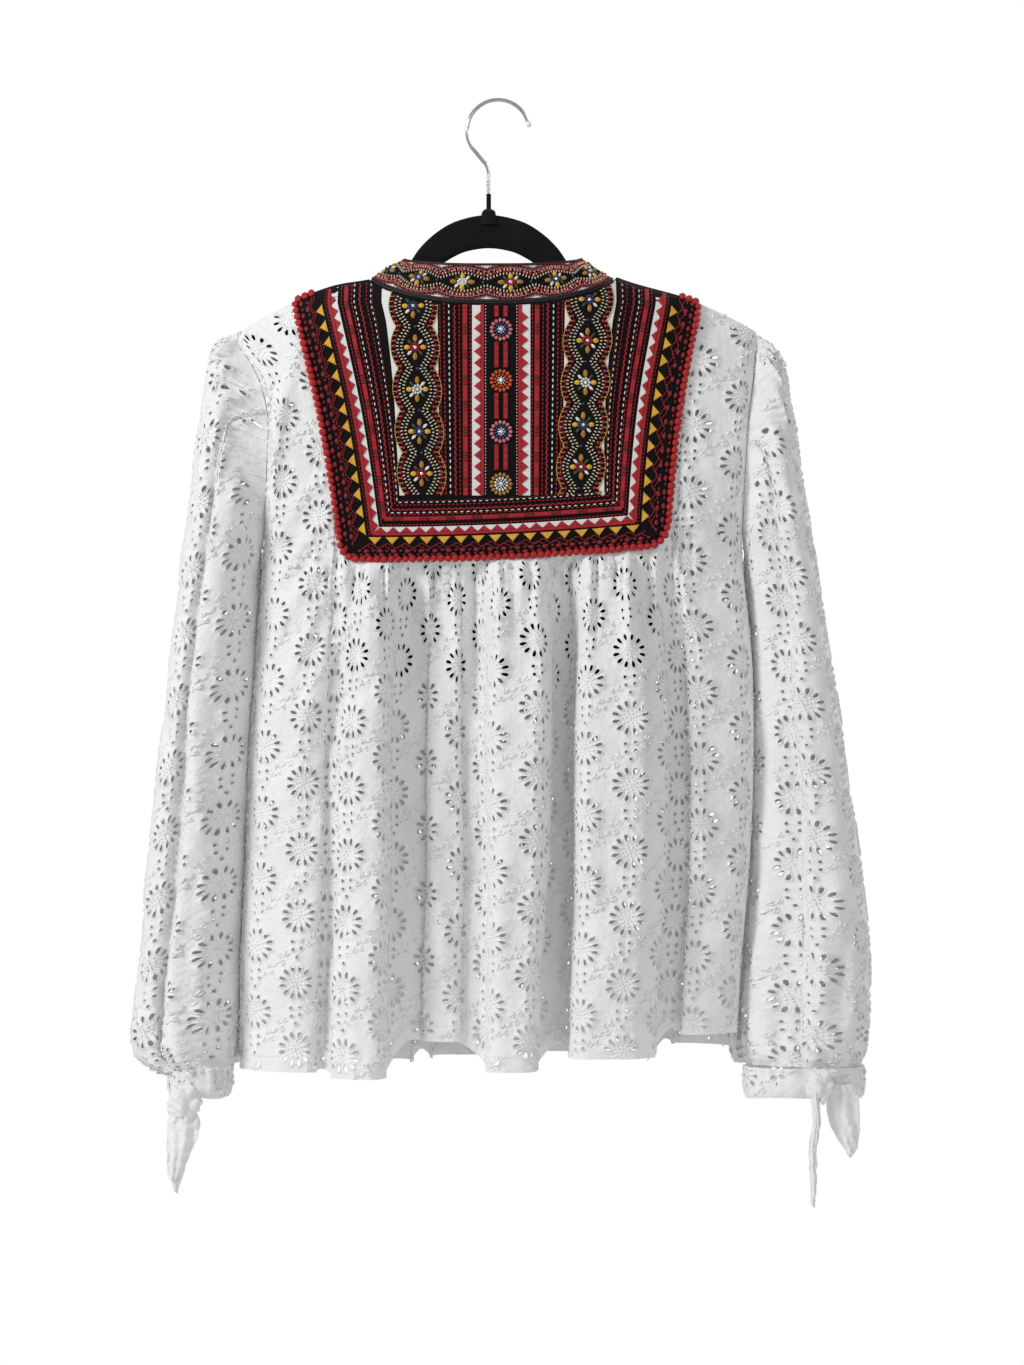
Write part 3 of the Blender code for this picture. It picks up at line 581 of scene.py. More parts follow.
def flowerPlaces(width, top, low, phase):
    # flower centres, half a pitch above the middle of the small eyelets
    centres = []
    columns = int(width / eyelet["columnPitch"]) + 2
    for i in range(columns):
        s = (i + 0.5) * eyelet["columnPitch"]
        start = top + ((i * eyelet["stagger"] + phase) % 1.0) * eyelet["flowerPitch"]
        for k in range(int((top - low) / eyelet["flowerPitch"]) + 3):
            centres.append((s, start - k * eyelet["flowerPitch"]))
    return np.array(centres)


def ovalRing(centre, long, wide, turn, count):
    a = np.linspace(0, tau, count, endpoint=False)
    u, v = 0.5 * long * np.cos(a), 0.5 * wide * np.sin(a) * (1 + 0.26 * np.cos(a))
    c, s = np.cos(turn), np.sin(turn)
    return pillar(centre[0] + u * c - v * s, centre[1] + u * s + v * c)


def eyeletHoles(centres, petalSides, dotSides):
    # each cut hole: its middle, length, width, turn and number of sides
    holes = []
    for s, t in centres:
        for p in range(eyelet["petals"]):
            a = tau * (p + 0.5) / eyelet["petals"]
            at = (s + eyelet["petalAt"] * math.cos(a), t + eyelet["petalAt"] * math.sin(a))
            holes.append((*at, eyelet["petalLong"], eyelet["petalWide"], a, petalSides))
        for dx, dy in eyelet["dots"]:
            at = (s + dx, t - eyelet["flowerPitch"] / 2 + dy)
            holes.append((*at, eyelet["dotWide"] * 1.15, eyelet["dotWide"], 1.2, dotSides))
    return np.array(holes)


def sewnMarks(centres, inside):
    # raised satin leaves, stems and the dotted flower centres, as stamps on the flat cloth
    lines, dots = [], []
    for s, t in centres:
        for leaf in sprig:
            x, y = s + leaf["x"], t - eyelet["flowerPitch"] / 2 + leaf["y"]
            shift = leaf["open"] / 2
            for way in (1, -1) if shift else (0,):
                turn = leaf["turn"] + way * 0.3
                aside = way * shift * 0.6
                at = (x - aside * math.sin(leaf["turn"]), y + aside * math.cos(leaf["turn"]))
                lines.append((*at, turn, leaf["long"] * 0.92, 0.0015, 0.00085, 0.00002))
        for ring, count, size in ((0.0064, 11, 0.0026), (0.0038, 7, 0.0024), (0.0012, 3, 0.0021)):
            for k in range(count):
                a = tau * (k + ring * 100) / count
                at = (s + ring * math.cos(a), t + ring * math.sin(a))
                dots.append((*at, a, size, size * 0.68, 0.0009, 0.00002))
    lines, dots = np.array(lines), np.array(dots)
    return lines[inside(lines[:, 0], lines[:, 1])], dots[inside(dots[:, 0], dots[:, 1])]


def seamStitches(lines):
    # rows of machine stitches along flat lines
    rows = []
    for line in lines:
        s, t, turn = walk(line, 0.0031)
        size = np.broadcast_to((0.0024, 0.0009, 0.0006, 0.0), (len(s), 4))
        rows.append(np.column_stack([s, t, turn, size]))
    return np.vstack(rows)


def eyeletCloth(name, cloth, outline, inside, petalSides=8, dotSides=6, coarse=1.0, seamed=False):
    # flat cut of the cloth with its holes, laid on the form
    centres = flowerPlaces(cloth["width"], cloth["top"] + 0.03, cloth["low"] - 0.03, cloth.get("phase", 0.0))
    holes = eyeletHoles(centres, petalSides, dotSides)
    line = outline[:, None, :]
    gap = np.linalg.norm(line - holes[None, :, :2], axis=2).min(axis=0)
    keep = gap > holes[:, 2] / 2 + 2 * eyelet["rimWide"] + eyelet["edgeMargin"]
    keep &= inside(holes[:, 0], holes[:, 1])
    holes = holes[keep]
    gridS, gridT = eyelet["gridS"] * coarse, eyelet["gridT"] * coarse
    s = np.arange(gridS / 2, cloth["width"], gridS)
    t = np.arange(cloth["low"], cloth["top"], gridT)
    gs, gt = np.meshgrid(s, t, indexing="ij")
    gt = gt + (np.arange(len(s)) % 2)[:, None] * gridT / 2
    grid = pillar(gs.ravel(), gt.ravel())
    grid = grid[inside(grid[:, 0], grid[:, 1])]
    near = np.zeros(len(grid), bool)
    for chunk in np.array_split(np.arange(len(grid)), 12):
        far = np.abs(grid[chunk, None, :] - outline[None, :, :]).max(axis=2).min(axis=1)
        near[chunk] = far < 0.4 * gridS
    for hole in holes:
        d = grid - hole[:2]
        c, n = math.cos(hole[4]), math.sin(hole[4])
        u, v = d[:, 0] * c + d[:, 1] * n, d[:, 1] * c - d[:, 0] * n
        reach = 2 * eyelet["rimWide"] + 0.0004
        near |= (u / (hole[2] / 2 + reach)) ** 2 + (v / (hole[3] / 2 + reach)) ** 2 < 1
    grid = grid[~near]
    rim = eyelet["rimWide"]
    rings, owner, edges, shift = [], [], [], 0
    for k, (s0, t0, long, wide, turn, sides) in enumerate(holes):
        sides = int(sides)
        wider = (0, 1.6 * rim, 3.4 * rim)
        rings.append([ovalRing((s0, t0), long + r, wide + r, turn, sides) for r in wider])
        owner += [k] * sides
        edges += [(shift + i, shift + (i + 1) % sides) for i in range(sides)]
        shift += sides
    outer = np.vstack([ring[2] for ring in rings])
    border = [(shift + i, shift + (i + 1) % len(outline)) for i in range(len(outline))]
    flat = np.vstack([outer, outline, grid])
    owner = np.array(owner + [-1] * (len(outline) + len(grid)))
    made = geometry.delaunay_2d_cdt([Vector(p) for p in flat], edges + border, [], 0, 1e-7)
    verts = np.array([v[:] for v in made[0]])
    source = np.array([ids[0] if ids else -1 for ids in made[3]])
    tris = np.array(made[2])
    own = np.where(source >= 0, owner[source], -1)
    o = own[tris]
    hole = (o[:, 0] >= 0) & (o[:, 0] == o[:, 1]) & (o[:, 1] == o[:, 2])
    middle = verts[tris].mean(axis=1)
    tris = tris[~hole & inside(middle[:, 0], middle[:, 1])]
    a, b, c = verts[tris[:, 0]], verts[tris[:, 1]], verts[tris[:, 2]]
    turned = (b[:, 0] - a[:, 0]) * (c[:, 1] - a[:, 1]) - (b[:, 1] - a[:, 1]) * (c[:, 0] - a[:, 0]) < 0
    tris[turned] = tris[turned][:, ::-1]
    place = np.full(len(flat), -1)
    place[source[source >= 0]] = np.flatnonzero(source >= 0)
    faces = tris.tolist()
    flatPoints, lift, stitched = [verts], [np.zeros(len(verts))], [np.zeros(len(verts))]
    shift, count = 0, len(verts)
    for ring, row in zip(rings, holes):
        sides = int(row[5])
        outerIds = place[shift : shift + sides]
        midIds = count + np.arange(sides)
        inIds = count + sides + np.arange(sides)
        for i in range(sides):
            j = (i + 1) % sides
            faces.append([int(outerIds[i]), int(outerIds[j]), int(midIds[j]), int(midIds[i])])
            faces.append([int(midIds[i]), int(midIds[j]), int(inIds[j]), int(inIds[i])])
        flatPoints += [ring[1], ring[0]]
        lift += [np.full(sides, eyelet["rimTall"]), np.full(sides, -0.00025)]
        stitched += [np.ones(sides), np.ones(sides)]
        shift += sides
        count += 2 * sides
    flatPoints, lift, stitched = np.vstack(flatPoints), np.concatenate(lift), np.concatenate(stitched)
    lines, dots = sewnMarks(centres, inside)
    if "seams" in cloth:
        lines = np.vstack([lines, seamStitches(cloth["seams"])])
    parts = [(layOn(cloth, flatPoints[:, 0], flatPoints[:, 1], lift), faces)]
    marks = [stampMany("leafLine", lines, pillar), stampMany("seed", dots, pillar)]
    points, markFaces = joinParts(marks)
    parts.append((layOn(cloth, points[:, 0], points[:, 1], points[:, 2]), markFaces))
    allFlat = np.vstack([flatPoints, points[:, :2]])
    allStitched = np.concatenate([stitched, np.ones(len(points))])
    points, faces = joinParts(parts)
    obj = arrayObject(name, points, faces)
    layer = obj.data.uv_layers.new(name="cut")
    corner = np.empty(len(obj.data.loops), np.int32)
    obj.data.loops.foreach_get("vertex_index", corner)
    layer.data.foreach_set("uv", allFlat[corner].astype(np.float32).ravel())
    mark = obj.data.attributes.new("stitched", "FLOAT", "POINT")
    mark.data.foreach_set("value", allStitched.astype(np.float32))
    if seamed:
        bm = bmesh.new()
        bm.from_mesh(obj.data)
        bmesh.ops.remove_doubles(bm, verts=bm.verts, dist=1e-6)
        bm.to_mesh(obj.data)
        bm.free()
    obj.data.shade_smooth()
    return obj


# front and back panels: large folds, gathers under the yoke and the creases of worn cotton
folds = {
    back: table(
        "gather hem out valley hemZ",
        ((0.006, 0.151), (0.006, 0.156), 0.012, -0.002, -0.779),
        ((0.18, 0.274), (0.192, 0.296), 0.02, -0.022, -0.783),
        ((0.342, 0.409), (0.37, 0.44), -0.012, -0.021, -0.756),
        ((0.452, 0.598), (0.5, 0.598), 0.022, -0.02, -0.777),
        ((0.629, 0.828), (0.666, 0.83), 0.018, -0.02, -0.767),
        ((0.861, 0.99), (0.888, 0.99), 0.0, 0.0, -0.75),
    ),
    front: table(
        "gather hem out valley hemZ",
        ((0.006, 0.15), (0.006, 0.17), 0.01, -0.01, -0.773),
        ((0.19, 0.33), (0.205, 0.345), 0.016, -0.018, -0.777),
        ((0.37, 0.5), (0.385, 0.52), 0.018, -0.016, -0.774),
        ((0.54, 0.68), (0.56, 0.69), 0.016, -0.018, -0.771),
        ((0.72, 0.83), (0.73, 0.84), 0.018, -0.008, -0.769),
        ((0.865, 0.99), (0.875, 0.99), 0.008, 0.0, -0.762),
    ),
}
panel = dict(
    columns=640,
    rows=330,
    topZ=-0.15,
    lowZ=-0.802,
    hemRise=0.012,
    foldsStart=0.03,
    gatherFrom=0.165,
    pressed=0.85,
    pressedRun=0.085,
    tightRun=0.06,
    looseRun=0.2,
    roll=0.004,
    tuck=0.003,
    hemTurn=0.013,
)
# gathers under a yoke: where each leaves the yoke, where it ends, and its own sizes
gathers = {
    back: table(
        "x endX wide tall long",
        (-0.118, -0.13, 0.006, 0.003, 0.09), (-0.098, -0.101, 0.0075, 0.0036, 0.11),
        (-0.086, -0.085, 0.0042, 0.003, 0.08), (-0.07, -0.069, 0.0036, 0.0022, 0.045),
        (-0.056, -0.054, 0.005, 0.004, 0.12), (-0.043, -0.041, 0.0034, 0.0022, 0.04),
        (-0.03, -0.026, 0.0075, 0.0042, 0.15), (-0.012, -0.008, 0.0036, 0.0026, 0.06),
        (0.001, 0.002, 0.008, 0.0036, 0.14), (0.02, 0.021, 0.0038, 0.0024, 0.05),
        (0.037, 0.039, 0.0065, 0.0044, 0.16), (0.052, 0.054, 0.0034, 0.0022, 0.045),
        (0.072, 0.069, 0.007, 0.004, 0.12), (0.087, 0.088, 0.0036, 0.0024, 0.05),
        (0.104, 0.106, 0.005, 0.004, 0.13), (0.116, 0.118, 0.0034, 0.0022, 0.04),
        (0.128, 0.131, 0.006, 0.0036, 0.11),
    ),
    front: tuple(
        dict(x=-0.112 + 0.0131 * k, endX=-0.118 + 0.0138 * k, wide=wide, tall=tall, long=long)
        for k, (wide, tall, long) in enumerate(
            (
                (0.006, 0.0034, 0.09), (0.004, 0.0024, 0.05), (0.007, 0.004, 0.12),
                (0.0036, 0.0024, 0.045), (0.0055, 0.0036, 0.1), (0.0075, 0.004, 0.14),
                (0.0036, 0.0022, 0.04), (0.006, 0.004, 0.11), (0.0044, 0.0026, 0.06),
                (0.0072, 0.0042, 0.13), (0.0038, 0.0024, 0.05), (0.006, 0.0036, 0.1),
                (0.004, 0.0026, 0.055), (0.007, 0.0038, 0.12), (0.0036, 0.0022, 0.045),
                (0.0062, 0.0036, 0.1), (0.0044, 0.0026, 0.06), (0.0058, 0.0032, 0.08),
            )
        )
    ),
}
# soft creases: ends, height (a trough is negative) and half width
creases = {
    back: table(
        "start end tall wide",
        ((-0.128, -0.362), (-0.186, -0.455), 0.0026, 0.006),
        ((-0.134, -0.335), (-0.178, -0.4), 0.0022, 0.005),
        ((-0.14, -0.305), (-0.172, -0.35), 0.0018, 0.0045),
        ((-0.12, -0.372), (-0.176, -0.505), 0.0024, 0.0065),
        ((-0.112, -0.4), (-0.165, -0.56), 0.0024, 0.007),
        ((-0.104, -0.44), (-0.152, -0.61), -0.0022, 0.007),
        ((-0.16, -0.205), (-0.18, -0.352), 0.0046, 0.0055),
        ((-0.176, -0.222), (-0.186, -0.33), -0.0036, 0.005),
        ((-0.178, -0.54), (-0.16, -0.575), 0.0016, 0.004),
        ((-0.15, -0.612), (-0.176, -0.668), 0.0018, 0.005),
        ((-0.116, -0.64), (-0.14, -0.76), -0.003, 0.0085),
        ((-0.186, -0.69), (-0.15, -0.716), 0.0014, 0.004),
        ((0.142, -0.35), (0.168, -0.452), 0.002, 0.0055),
        ((0.15, -0.3), (0.176, -0.372), 0.002, 0.005),
        ((0.158, -0.25), (0.182, -0.318), 0.0018, 0.0045),
        ((0.16, -0.48), (0.176, -0.64), 0.0018, 0.007),
        ((0.178, -0.61), (0.16, -0.735), -0.0022, 0.007),
        ((0.02, -0.56), (0.01, -0.742), 0.0022, 0.0075),
        ((0.075, -0.52), (0.092, -0.7), 0.002, 0.008),
        ((0.066, -0.6), (0.07, -0.75), -0.0024, 0.006),
        ((-0.04, -0.5), (-0.034, -0.735), 0.0034, 0.006),
    ),
    front: table(
        "start end tall wide",
        ((-0.134, -0.43), (-0.18, -0.53), 0.0024, 0.006),
        ((-0.15, -0.35), (-0.176, -0.44), 0.002, 0.005),
        ((0.134, -0.43), (0.182, -0.54), 0.0024, 0.006),
        ((0.152, -0.34), (0.18, -0.43), 0.002, 0.005),
        ((-0.09, -0.56), (-0.1, -0.73), 0.0022, 0.007),
        ((0.0, -0.56), (-0.008, -0.74), 0.0022, 0.0075),
        ((0.088, -0.58), (0.096, -0.74), -0.0022, 0.007),
        ((0.166, -0.6), (0.15, -0.72), 0.0018, 0.006),
        ((-0.168, -0.61), (-0.15, -0.72), 0.0018, 0.006),
    ),
}


def foldCurve(side):
    # across a panel: share at the gather, share at the hem, distance out, hem height
    rows = folds[side]
    deep = form["depth"]
    points = [(0.0, 0.0, -deep, rows[0]["hemZ"])]
    for i, fold in enumerate(rows):
        (g0, g1), (h0, h1) = fold["gather"], fold["hem"]
        before = rows[i - 1]["valley"] if i else -deep
        last = i == len(rows) - 1
        after = -deep if last else fold["valley"]
        out, hemZ = fold["out"], fold["hemZ"]
        if i:
            step = out - before
            roll, tuck = panel["roll"], panel["tuck"]
            points.append((g0 + tuck, h0 + tuck, before + 0.24 * step, hemZ))
            points.append((g0, h0 - roll, out - 0.36 * step, hemZ))
        else:
            points.append((g0, h0, -0.45 * deep, hemZ))
        for part, crown in ((0.14, -0.0008), (0.5, 0.0012), (0.84, -0.0004)):
            points.append((g0 + part * (g1 - g0), h0 + part * (h1 - h0), out + crown, hemZ))
        if last:
            points.append((g1, h1, -0.45 * deep, hemZ))
            break
        step = out - after
        points.append((g1, h1 + panel["roll"], out - 0.36 * step, hemZ))
        points.append((g1 - panel["tuck"], h1 - panel["tuck"], after + 0.24 * step, hemZ))
        following = rows[i + 1]
        rise = panel["hemRise"] * min(1.0, max(0.0, step) / 0.04)
        middleZ = (hemZ + following["hemZ"]) / 2 + rise
        middle = ((g1 + following["gather"][0]) / 2, (h1 + following["hem"][0]) / 2)
        points.append((*middle, after, middleZ))
    points.append((1.0, 1.0, -deep, rows[-1]["hemZ"]))
    return np.array(points)


def softNoise(points, scale, seed):
    offset = Vector((seed * 7.3, seed * 3.1, seed * 5.7))
    flat = points.reshape(-1, 3)
    values = [noise.noise(Vector(p) + offset) for p in flat * scale]
    return np.array(values).reshape(points.shape[:-1])


def creaseHeights(rows, x, z):
    total = np.zeros_like(x)
    for row in rows:
        (x0, z0), (x1, z1) = row["start"], row["end"]
        dx, dz = x1 - x0, z1 - z0
        length = math.hypot(dx, dz)
        along = ((x - x0) * dx + (z - z0) * dz) / length
        bow = 0.06 * length * np.sin(math.pi * np.clip(along / length, 0, 1))
        across = ((x - x0) * dz - (z - z0) * dx) / length - bow
        taper = np.sin(math.pi * np.clip((along + 0.12 * length) / (1.24 * length), 0, 1)) ** 1.2
        total += 1.35 * row["tall"] * taper * np.exp(-((across / row["wide"]) ** 2))
    return total


def panelForm(side):
    points = foldCurve(side)
    width = bodyEdgeRows[-1]["right"] - bodyEdgeRows[-1]["left"]
    path = pillar(points[:, 1] * width, points[:, 2])
    at, length = spreadEvenly(path, panel["columns"])
    columns = through(points, at)
    gatherAt, hemAt, out, hemZ = (columns[:, k][:, None] for k in range(4))
    z = np.linspace(panel["topZ"], panel["lowZ"], panel["rows"])[None, :]
    gatherZ = yokeBottom[side]["middle"]
    drop = smooth((gatherZ - z) / (gatherZ - hemZ))
    share = gatherAt + (hemAt - gatherAt) * drop
    gathered = (columns[:, 0] > panel["gatherFrom"]) & (columns[:, 0] < 1 - panel["gatherFrom"])
    inside = np.flatnonzero(gathered)
    even = columns[:, 0].copy()
    even[inside] = np.linspace(even[inside[0]], even[inside[-1]], len(inside))
    pressed = panel["pressed"] * np.exp(-((np.maximum(gatherZ - z, 0) / panel["pressedRun"]) ** 1.5))
    share = share + (even[:, None] - gatherAt) * pressed * (z < gatherZ + 0.03)
    left, right = bodyEdges(z)
    x = left + share * (right - left)
    run = np.where(np.abs(gatherAt - 0.5) < 0.29, panel["tightRun"], panel["looseRun"])
    below = np.maximum(0.0, gatherZ + panel["foldsStart"] - z - 0.0035)
    inner = 1 - np.abs(2 * np.clip(share, 0, 1) - 1) ** 6
    moved = np.maximum(out, -0.55 * form["depth"]) * (1 - np.exp(-below / run)) * inner
    seamZ = yokeBottomZ(side, x)
    under = np.maximum(seamZ - z, 0)
    small = np.zeros_like(x)
    for row in gathers[side]:
        fall = np.clip(under / row["long"], 0, 1)
        q = (x - row["x"] - (row["endX"] - row["x"]) * fall) / row["wide"]
        q = np.where(q > 0, q * 1.35, q * 0.85)
        small += row["tall"] * np.exp(-np.abs(q) ** 2.2) * (1 - smooth((fall - 0.25) / 0.75))
    ripple = np.sin(x * 720 + 1.9 * np.sin(x * 131) + 1.1 * np.sin(x * 57 + 2))
    small = 1.8 * small + 0.0032 * ripple * np.exp(-under / 0.036)
    small = (small - 0.0032) * (under > 0) * (1 - np.exp(-under / 0.005)) * inner
    nearEdge = np.abs(2 * np.clip(share, 0, 1) - 1) ** 30
    moved = moved + small + creaseHeights(creases[side], x, z) * (1 - nearEdge)
    centre, half = yokeSide(side, z)
    pinch = np.minimum(1.0, 0.06 + under / 0.013)
    moved = moved * (pinch + (1 - pinch) * smooth((np.abs(x - centre) - half) / 0.012))
    hemUp = z - hemZ
    moved = moved + 0.0013 * (1 - smooth((hemUp - panel["hemTurn"]) / 0.003)) * inner
    depth = np.maximum(torsoDepth(x, z) + moved, 0.0006)
    grid = np.stack([x, side * depth, np.broadcast_to(z, x.shape)], axis=2)
    if side == front:
        grid = grid[::-1]
        hemZ = hemZ[::-1]
    crumple = softNoise(grid[::4, ::4], (26.0, 12.0, 16.0), side + 3.0)
    fine = softNoise(grid[::2, ::2], (80.0, 30.0, 52.0), side + 8.0)
    lift = 0.0026 * spread(crumple, grid.shape[:2]) + 0.0012 * spread(fine, grid.shape[:2])
    inward = smooth((np.abs(grid[:, :, 1]) - 0.002) / 0.012)
    grid[:, :, 1] += side * lift * inward
    cloth = clothForm(grid, length, panel["topZ"], panel["lowZ"])
    cloth["hemZ"] = hemZ[:, 0]
    flatS = np.linspace(0, length, len(hemZ))
    cloth["seams"] = [pillar(flatS, hemZ[:, 0] + panel["hemTurn"] - 0.0008)[4:-4]]
    cloth["side"] = side
    return cloth


def spread(values, shape):
    # a coarse table of heights, enlarged to the form's
    rows = np.linspace(0, values.shape[0] - 1, shape[0])
    columns = np.linspace(0, values.shape[1] - 1, shape[1])
    i = np.minimum(rows.astype(int), values.shape[0] - 2)
    j = np.minimum(columns.astype(int), values.shape[1] - 2)
    u, v = (rows - i)[:, None], (columns - j)[None, :]
    a = values[i][:, j] * (1 - v) + values[i][:, j + 1] * v
    b = values[i + 1][:, j] * (1 - v) + values[i + 1][:, j + 1] * v
    return a * (1 - u) + b * u


def panelOutline(cloth):
    # the flat cut: hem, armholes and side seams, shoulders, and the edge sewn to the yoke
    side, width = cloth["side"], cloth["width"]
    countS, countT = cloth["points"].shape[:2]

    def flatPlace(x, z):
        down = (cloth["top"] - z) / (cloth["top"] - cloth["low"])
        row = np.clip(np.round(down * (countT - 1)), 0, countT - 1)
        way = -side
        xs = cloth["points"][:, row.astype(int), 0] * way
        flatS = np.linspace(0, width, countS)
        return np.array([np.interp(a, xs[:, k], flatS) for k, a in enumerate(x * way)])

    gap = 0.0005
    z = np.linspace(form["shoulderZ"] - 0.001, cloth["hemZ"][0] if side == back else cloth["hemZ"][-1], 130)
    leftEdge = pillar(z * 0, z)
    z = np.linspace(form["shoulderZ"] - 0.001, cloth["hemZ"][-1] if side == back else cloth["hemZ"][0], 130)
    rightEdge = pillar(z * 0 + width, z)
    s = np.linspace(0, width, int(width / 0.0025))
    hem = pillar(s, np.interp(s, np.linspace(0, width, countS), cloth["hemZ"]))
    cornerZ = yokeRows[side][0]["z"]
    sides = []
    for sign in (-1, 1):
        for _ in range(4):
            centre, half = yokeSide(side, cornerZ)
            cornerX = centre + sign * (half + gap)
            cornerZ = ridgeZ(cornerX) - form["seam"]
        edgeX = bodyEdges(form["shoulderZ"])[0 if sign < 0 else 1]
        xs = np.linspace(edgeX, cornerX, 22)[1:-1]
        ridge = pillar(xs, ridgeZ(xs) - form["seam"] - 0.0002)
        z = np.linspace(cornerZ, yokeBottom[side]["middle"] + 0.017, 80)
        centre, half = yokeSide(side, z)
        down = pillar(centre + sign * (half + gap), z)
        sides.append((ridge, down))
    z0 = yokeBottom[side]["middle"]
    centre, half = yokeSide(side, z0)
    turn = np.linspace(-1, 1, 150)
    xs = centre + half * np.sin(turn * math.pi / 2 * 0.995)
    bottom = pillar(xs, yokeBottomZ(side, xs) - gap)
    (leftRidge, leftDown), (rightRidge, rightDown) = sides
    keep = bottom[:, 1] < leftDown[-1, 1] - 0.001
    bottom = bottom[keep]
    top = np.vstack([leftRidge, leftDown, bottom, rightDown[::-1], rightRidge[::-1]])
    if side == front:
        top = top[::-1]
    topFlat = pillar(flatPlace(top[:, 0], top[:, 1]), top[:, 1])
    line = np.vstack([leftEdge[::-1], topFlat, rightEdge, hem[::-1][1:-1]])
    apart = np.linalg.norm(np.diff(line, axis=0, append=line[:1]), axis=1)
    return line[apart > 2e-4]


def insidePolygon(outline):
    # test of many points against a closed outline
    a, b = outline, np.roll(outline, -1, axis=0)

    def test(s, t):
        found = np.zeros(len(s), bool)
        for chunk in np.array_split(np.arange(len(s)), max(1, len(s) // 4000)):
            y = t[chunk, None]
            cross = (a[None, :, 1] > y) != (b[None, :, 1] > y)
            with np.errstate(divide="ignore", invalid="ignore"):
                at = a[None, :, 0] + (y - a[None, :, 1]) * (b[None, :, 0] - a[None, :, 0]) / (
                    b[None, :, 1] - a[None, :, 1]
                )
            found[chunk] = (cross & (s[chunk, None] < at)).sum(axis=1) % 2 == 1
        return found

    return test


def addPanels(material):
    for side, name in ((back, "body_back"), (front, "body_front")):
        cloth = panelForm(side)
        outline = panelOutline(cloth)
        sides = (8, 6, 1.0) if side == back else (7, 5, 1.2)
        obj = eyeletCloth(name + "_eyelet", cloth, outline, insidePolygon(outline), *sides)
        dress(obj, material, "cotton", name)


# sleeves: inner and outer end of each ring with its half depth, and the loop round a ring
sleeveRows = {
    "left": table(
        "inner outer deep",
        ((-0.1915, -0.362), (-0.225, -0.1965), 0.024), ((-0.1925, -0.365), (-0.2325, -0.2145), 0.028),
        ((-0.1937, -0.369), (-0.2375, -0.24), 0.031), ((-0.1952, -0.376), (-0.2425, -0.28), 0.033),
        ((-0.1967, -0.39), (-0.25, -0.34), 0.034), ((-0.1985, -0.425), (-0.26, -0.415), 0.034),
        ((-0.2025, -0.5), (-0.2705, -0.5), 0.034), ((-0.2065, -0.59), (-0.279, -0.59), 0.034),
        ((-0.2105, -0.67), (-0.2865, -0.67), 0.034), ((-0.2125, -0.725), (-0.293, -0.725), 0.035),
        ((-0.215, -0.754), (-0.295, -0.756), 0.035), ((-0.2168, -0.766), (-0.288, -0.773), 0.033),
        ((-0.2168, -0.7752), (-0.265, -0.785), 0.031),
    ),
    "right": table(
        "inner outer deep",
        ((0.1992, -0.362), (0.2215, -0.1975), 0.024), ((0.2002, -0.365), (0.2298, -0.213), 0.028),
        ((0.2014, -0.369), (0.2355, -0.24), 0.031), ((0.203, -0.376), (0.241, -0.28), 0.033),
        ((0.2048, -0.39), (0.2508, -0.34), 0.034), ((0.2075, -0.425), (0.2642, -0.415), 0.034),
        ((0.2095, -0.5), (0.2762, -0.5), 0.034), ((0.207, -0.59), (0.2882, -0.59), 0.034),
        ((0.2015, -0.67), (0.299, -0.67), 0.035), ((0.1975, -0.725), (0.2992, -0.725), 0.035),
        ((0.196, -0.754), (0.2975, -0.754), 0.034), ((0.1975, -0.768), (0.296, -0.768), 0.031),
        ((0.2, -0.7763), (0.2935, -0.7763), 0.025),
    ),
}
sleeveLoops = {
    "left": table(
        "across deep",
        (0.0, 0.0), (0.05, -0.42), (0.2, -0.66), (0.34, -0.46), (0.37, -0.78), (0.44, -1.04),
        (0.72, -0.96), (0.92, -0.6), (1.0, 0.0), (0.93, 0.55), (0.76, 0.92), (0.58, 0.74), (0.44, 0.98),
        (0.28, 0.86), (0.14, 0.95), (0.03, 0.48),
    ),
    "right": table(
        "across deep",
        (0.0, 0.0), (0.05, -0.5), (0.18, -0.94), (0.34, -1.02), (0.49, -0.94), (0.54, -0.48),
        (0.68, -0.46), (0.84, -0.62), (1.0, 0.0), (0.93, 0.6), (0.78, 0.95), (0.62, 0.8), (0.46, 1.0),
        (0.28, 0.82), (0.12, 0.86), (0.03, 0.45),
    ),
}
cuffs = {
    "left": dict(centre=-0.2402, halfWidth=0.0234, halfDepth=0.031, top=-0.7756, height=0.0245),
    "right": dict(centre=0.2468, halfWidth=0.0467, halfDepth=0.025, top=-0.7771, height=0.0245),
}
sleeve = dict(around=460, flat=0.3, step=0.0022, gap=0.0006, headGather=0.0036, cuffGather=0.0026)
sleeve.update(tuckFrom=0.62, tuckIn=0.0075, tuckBehind=0.02)  # the underarm cloth, tucked behind
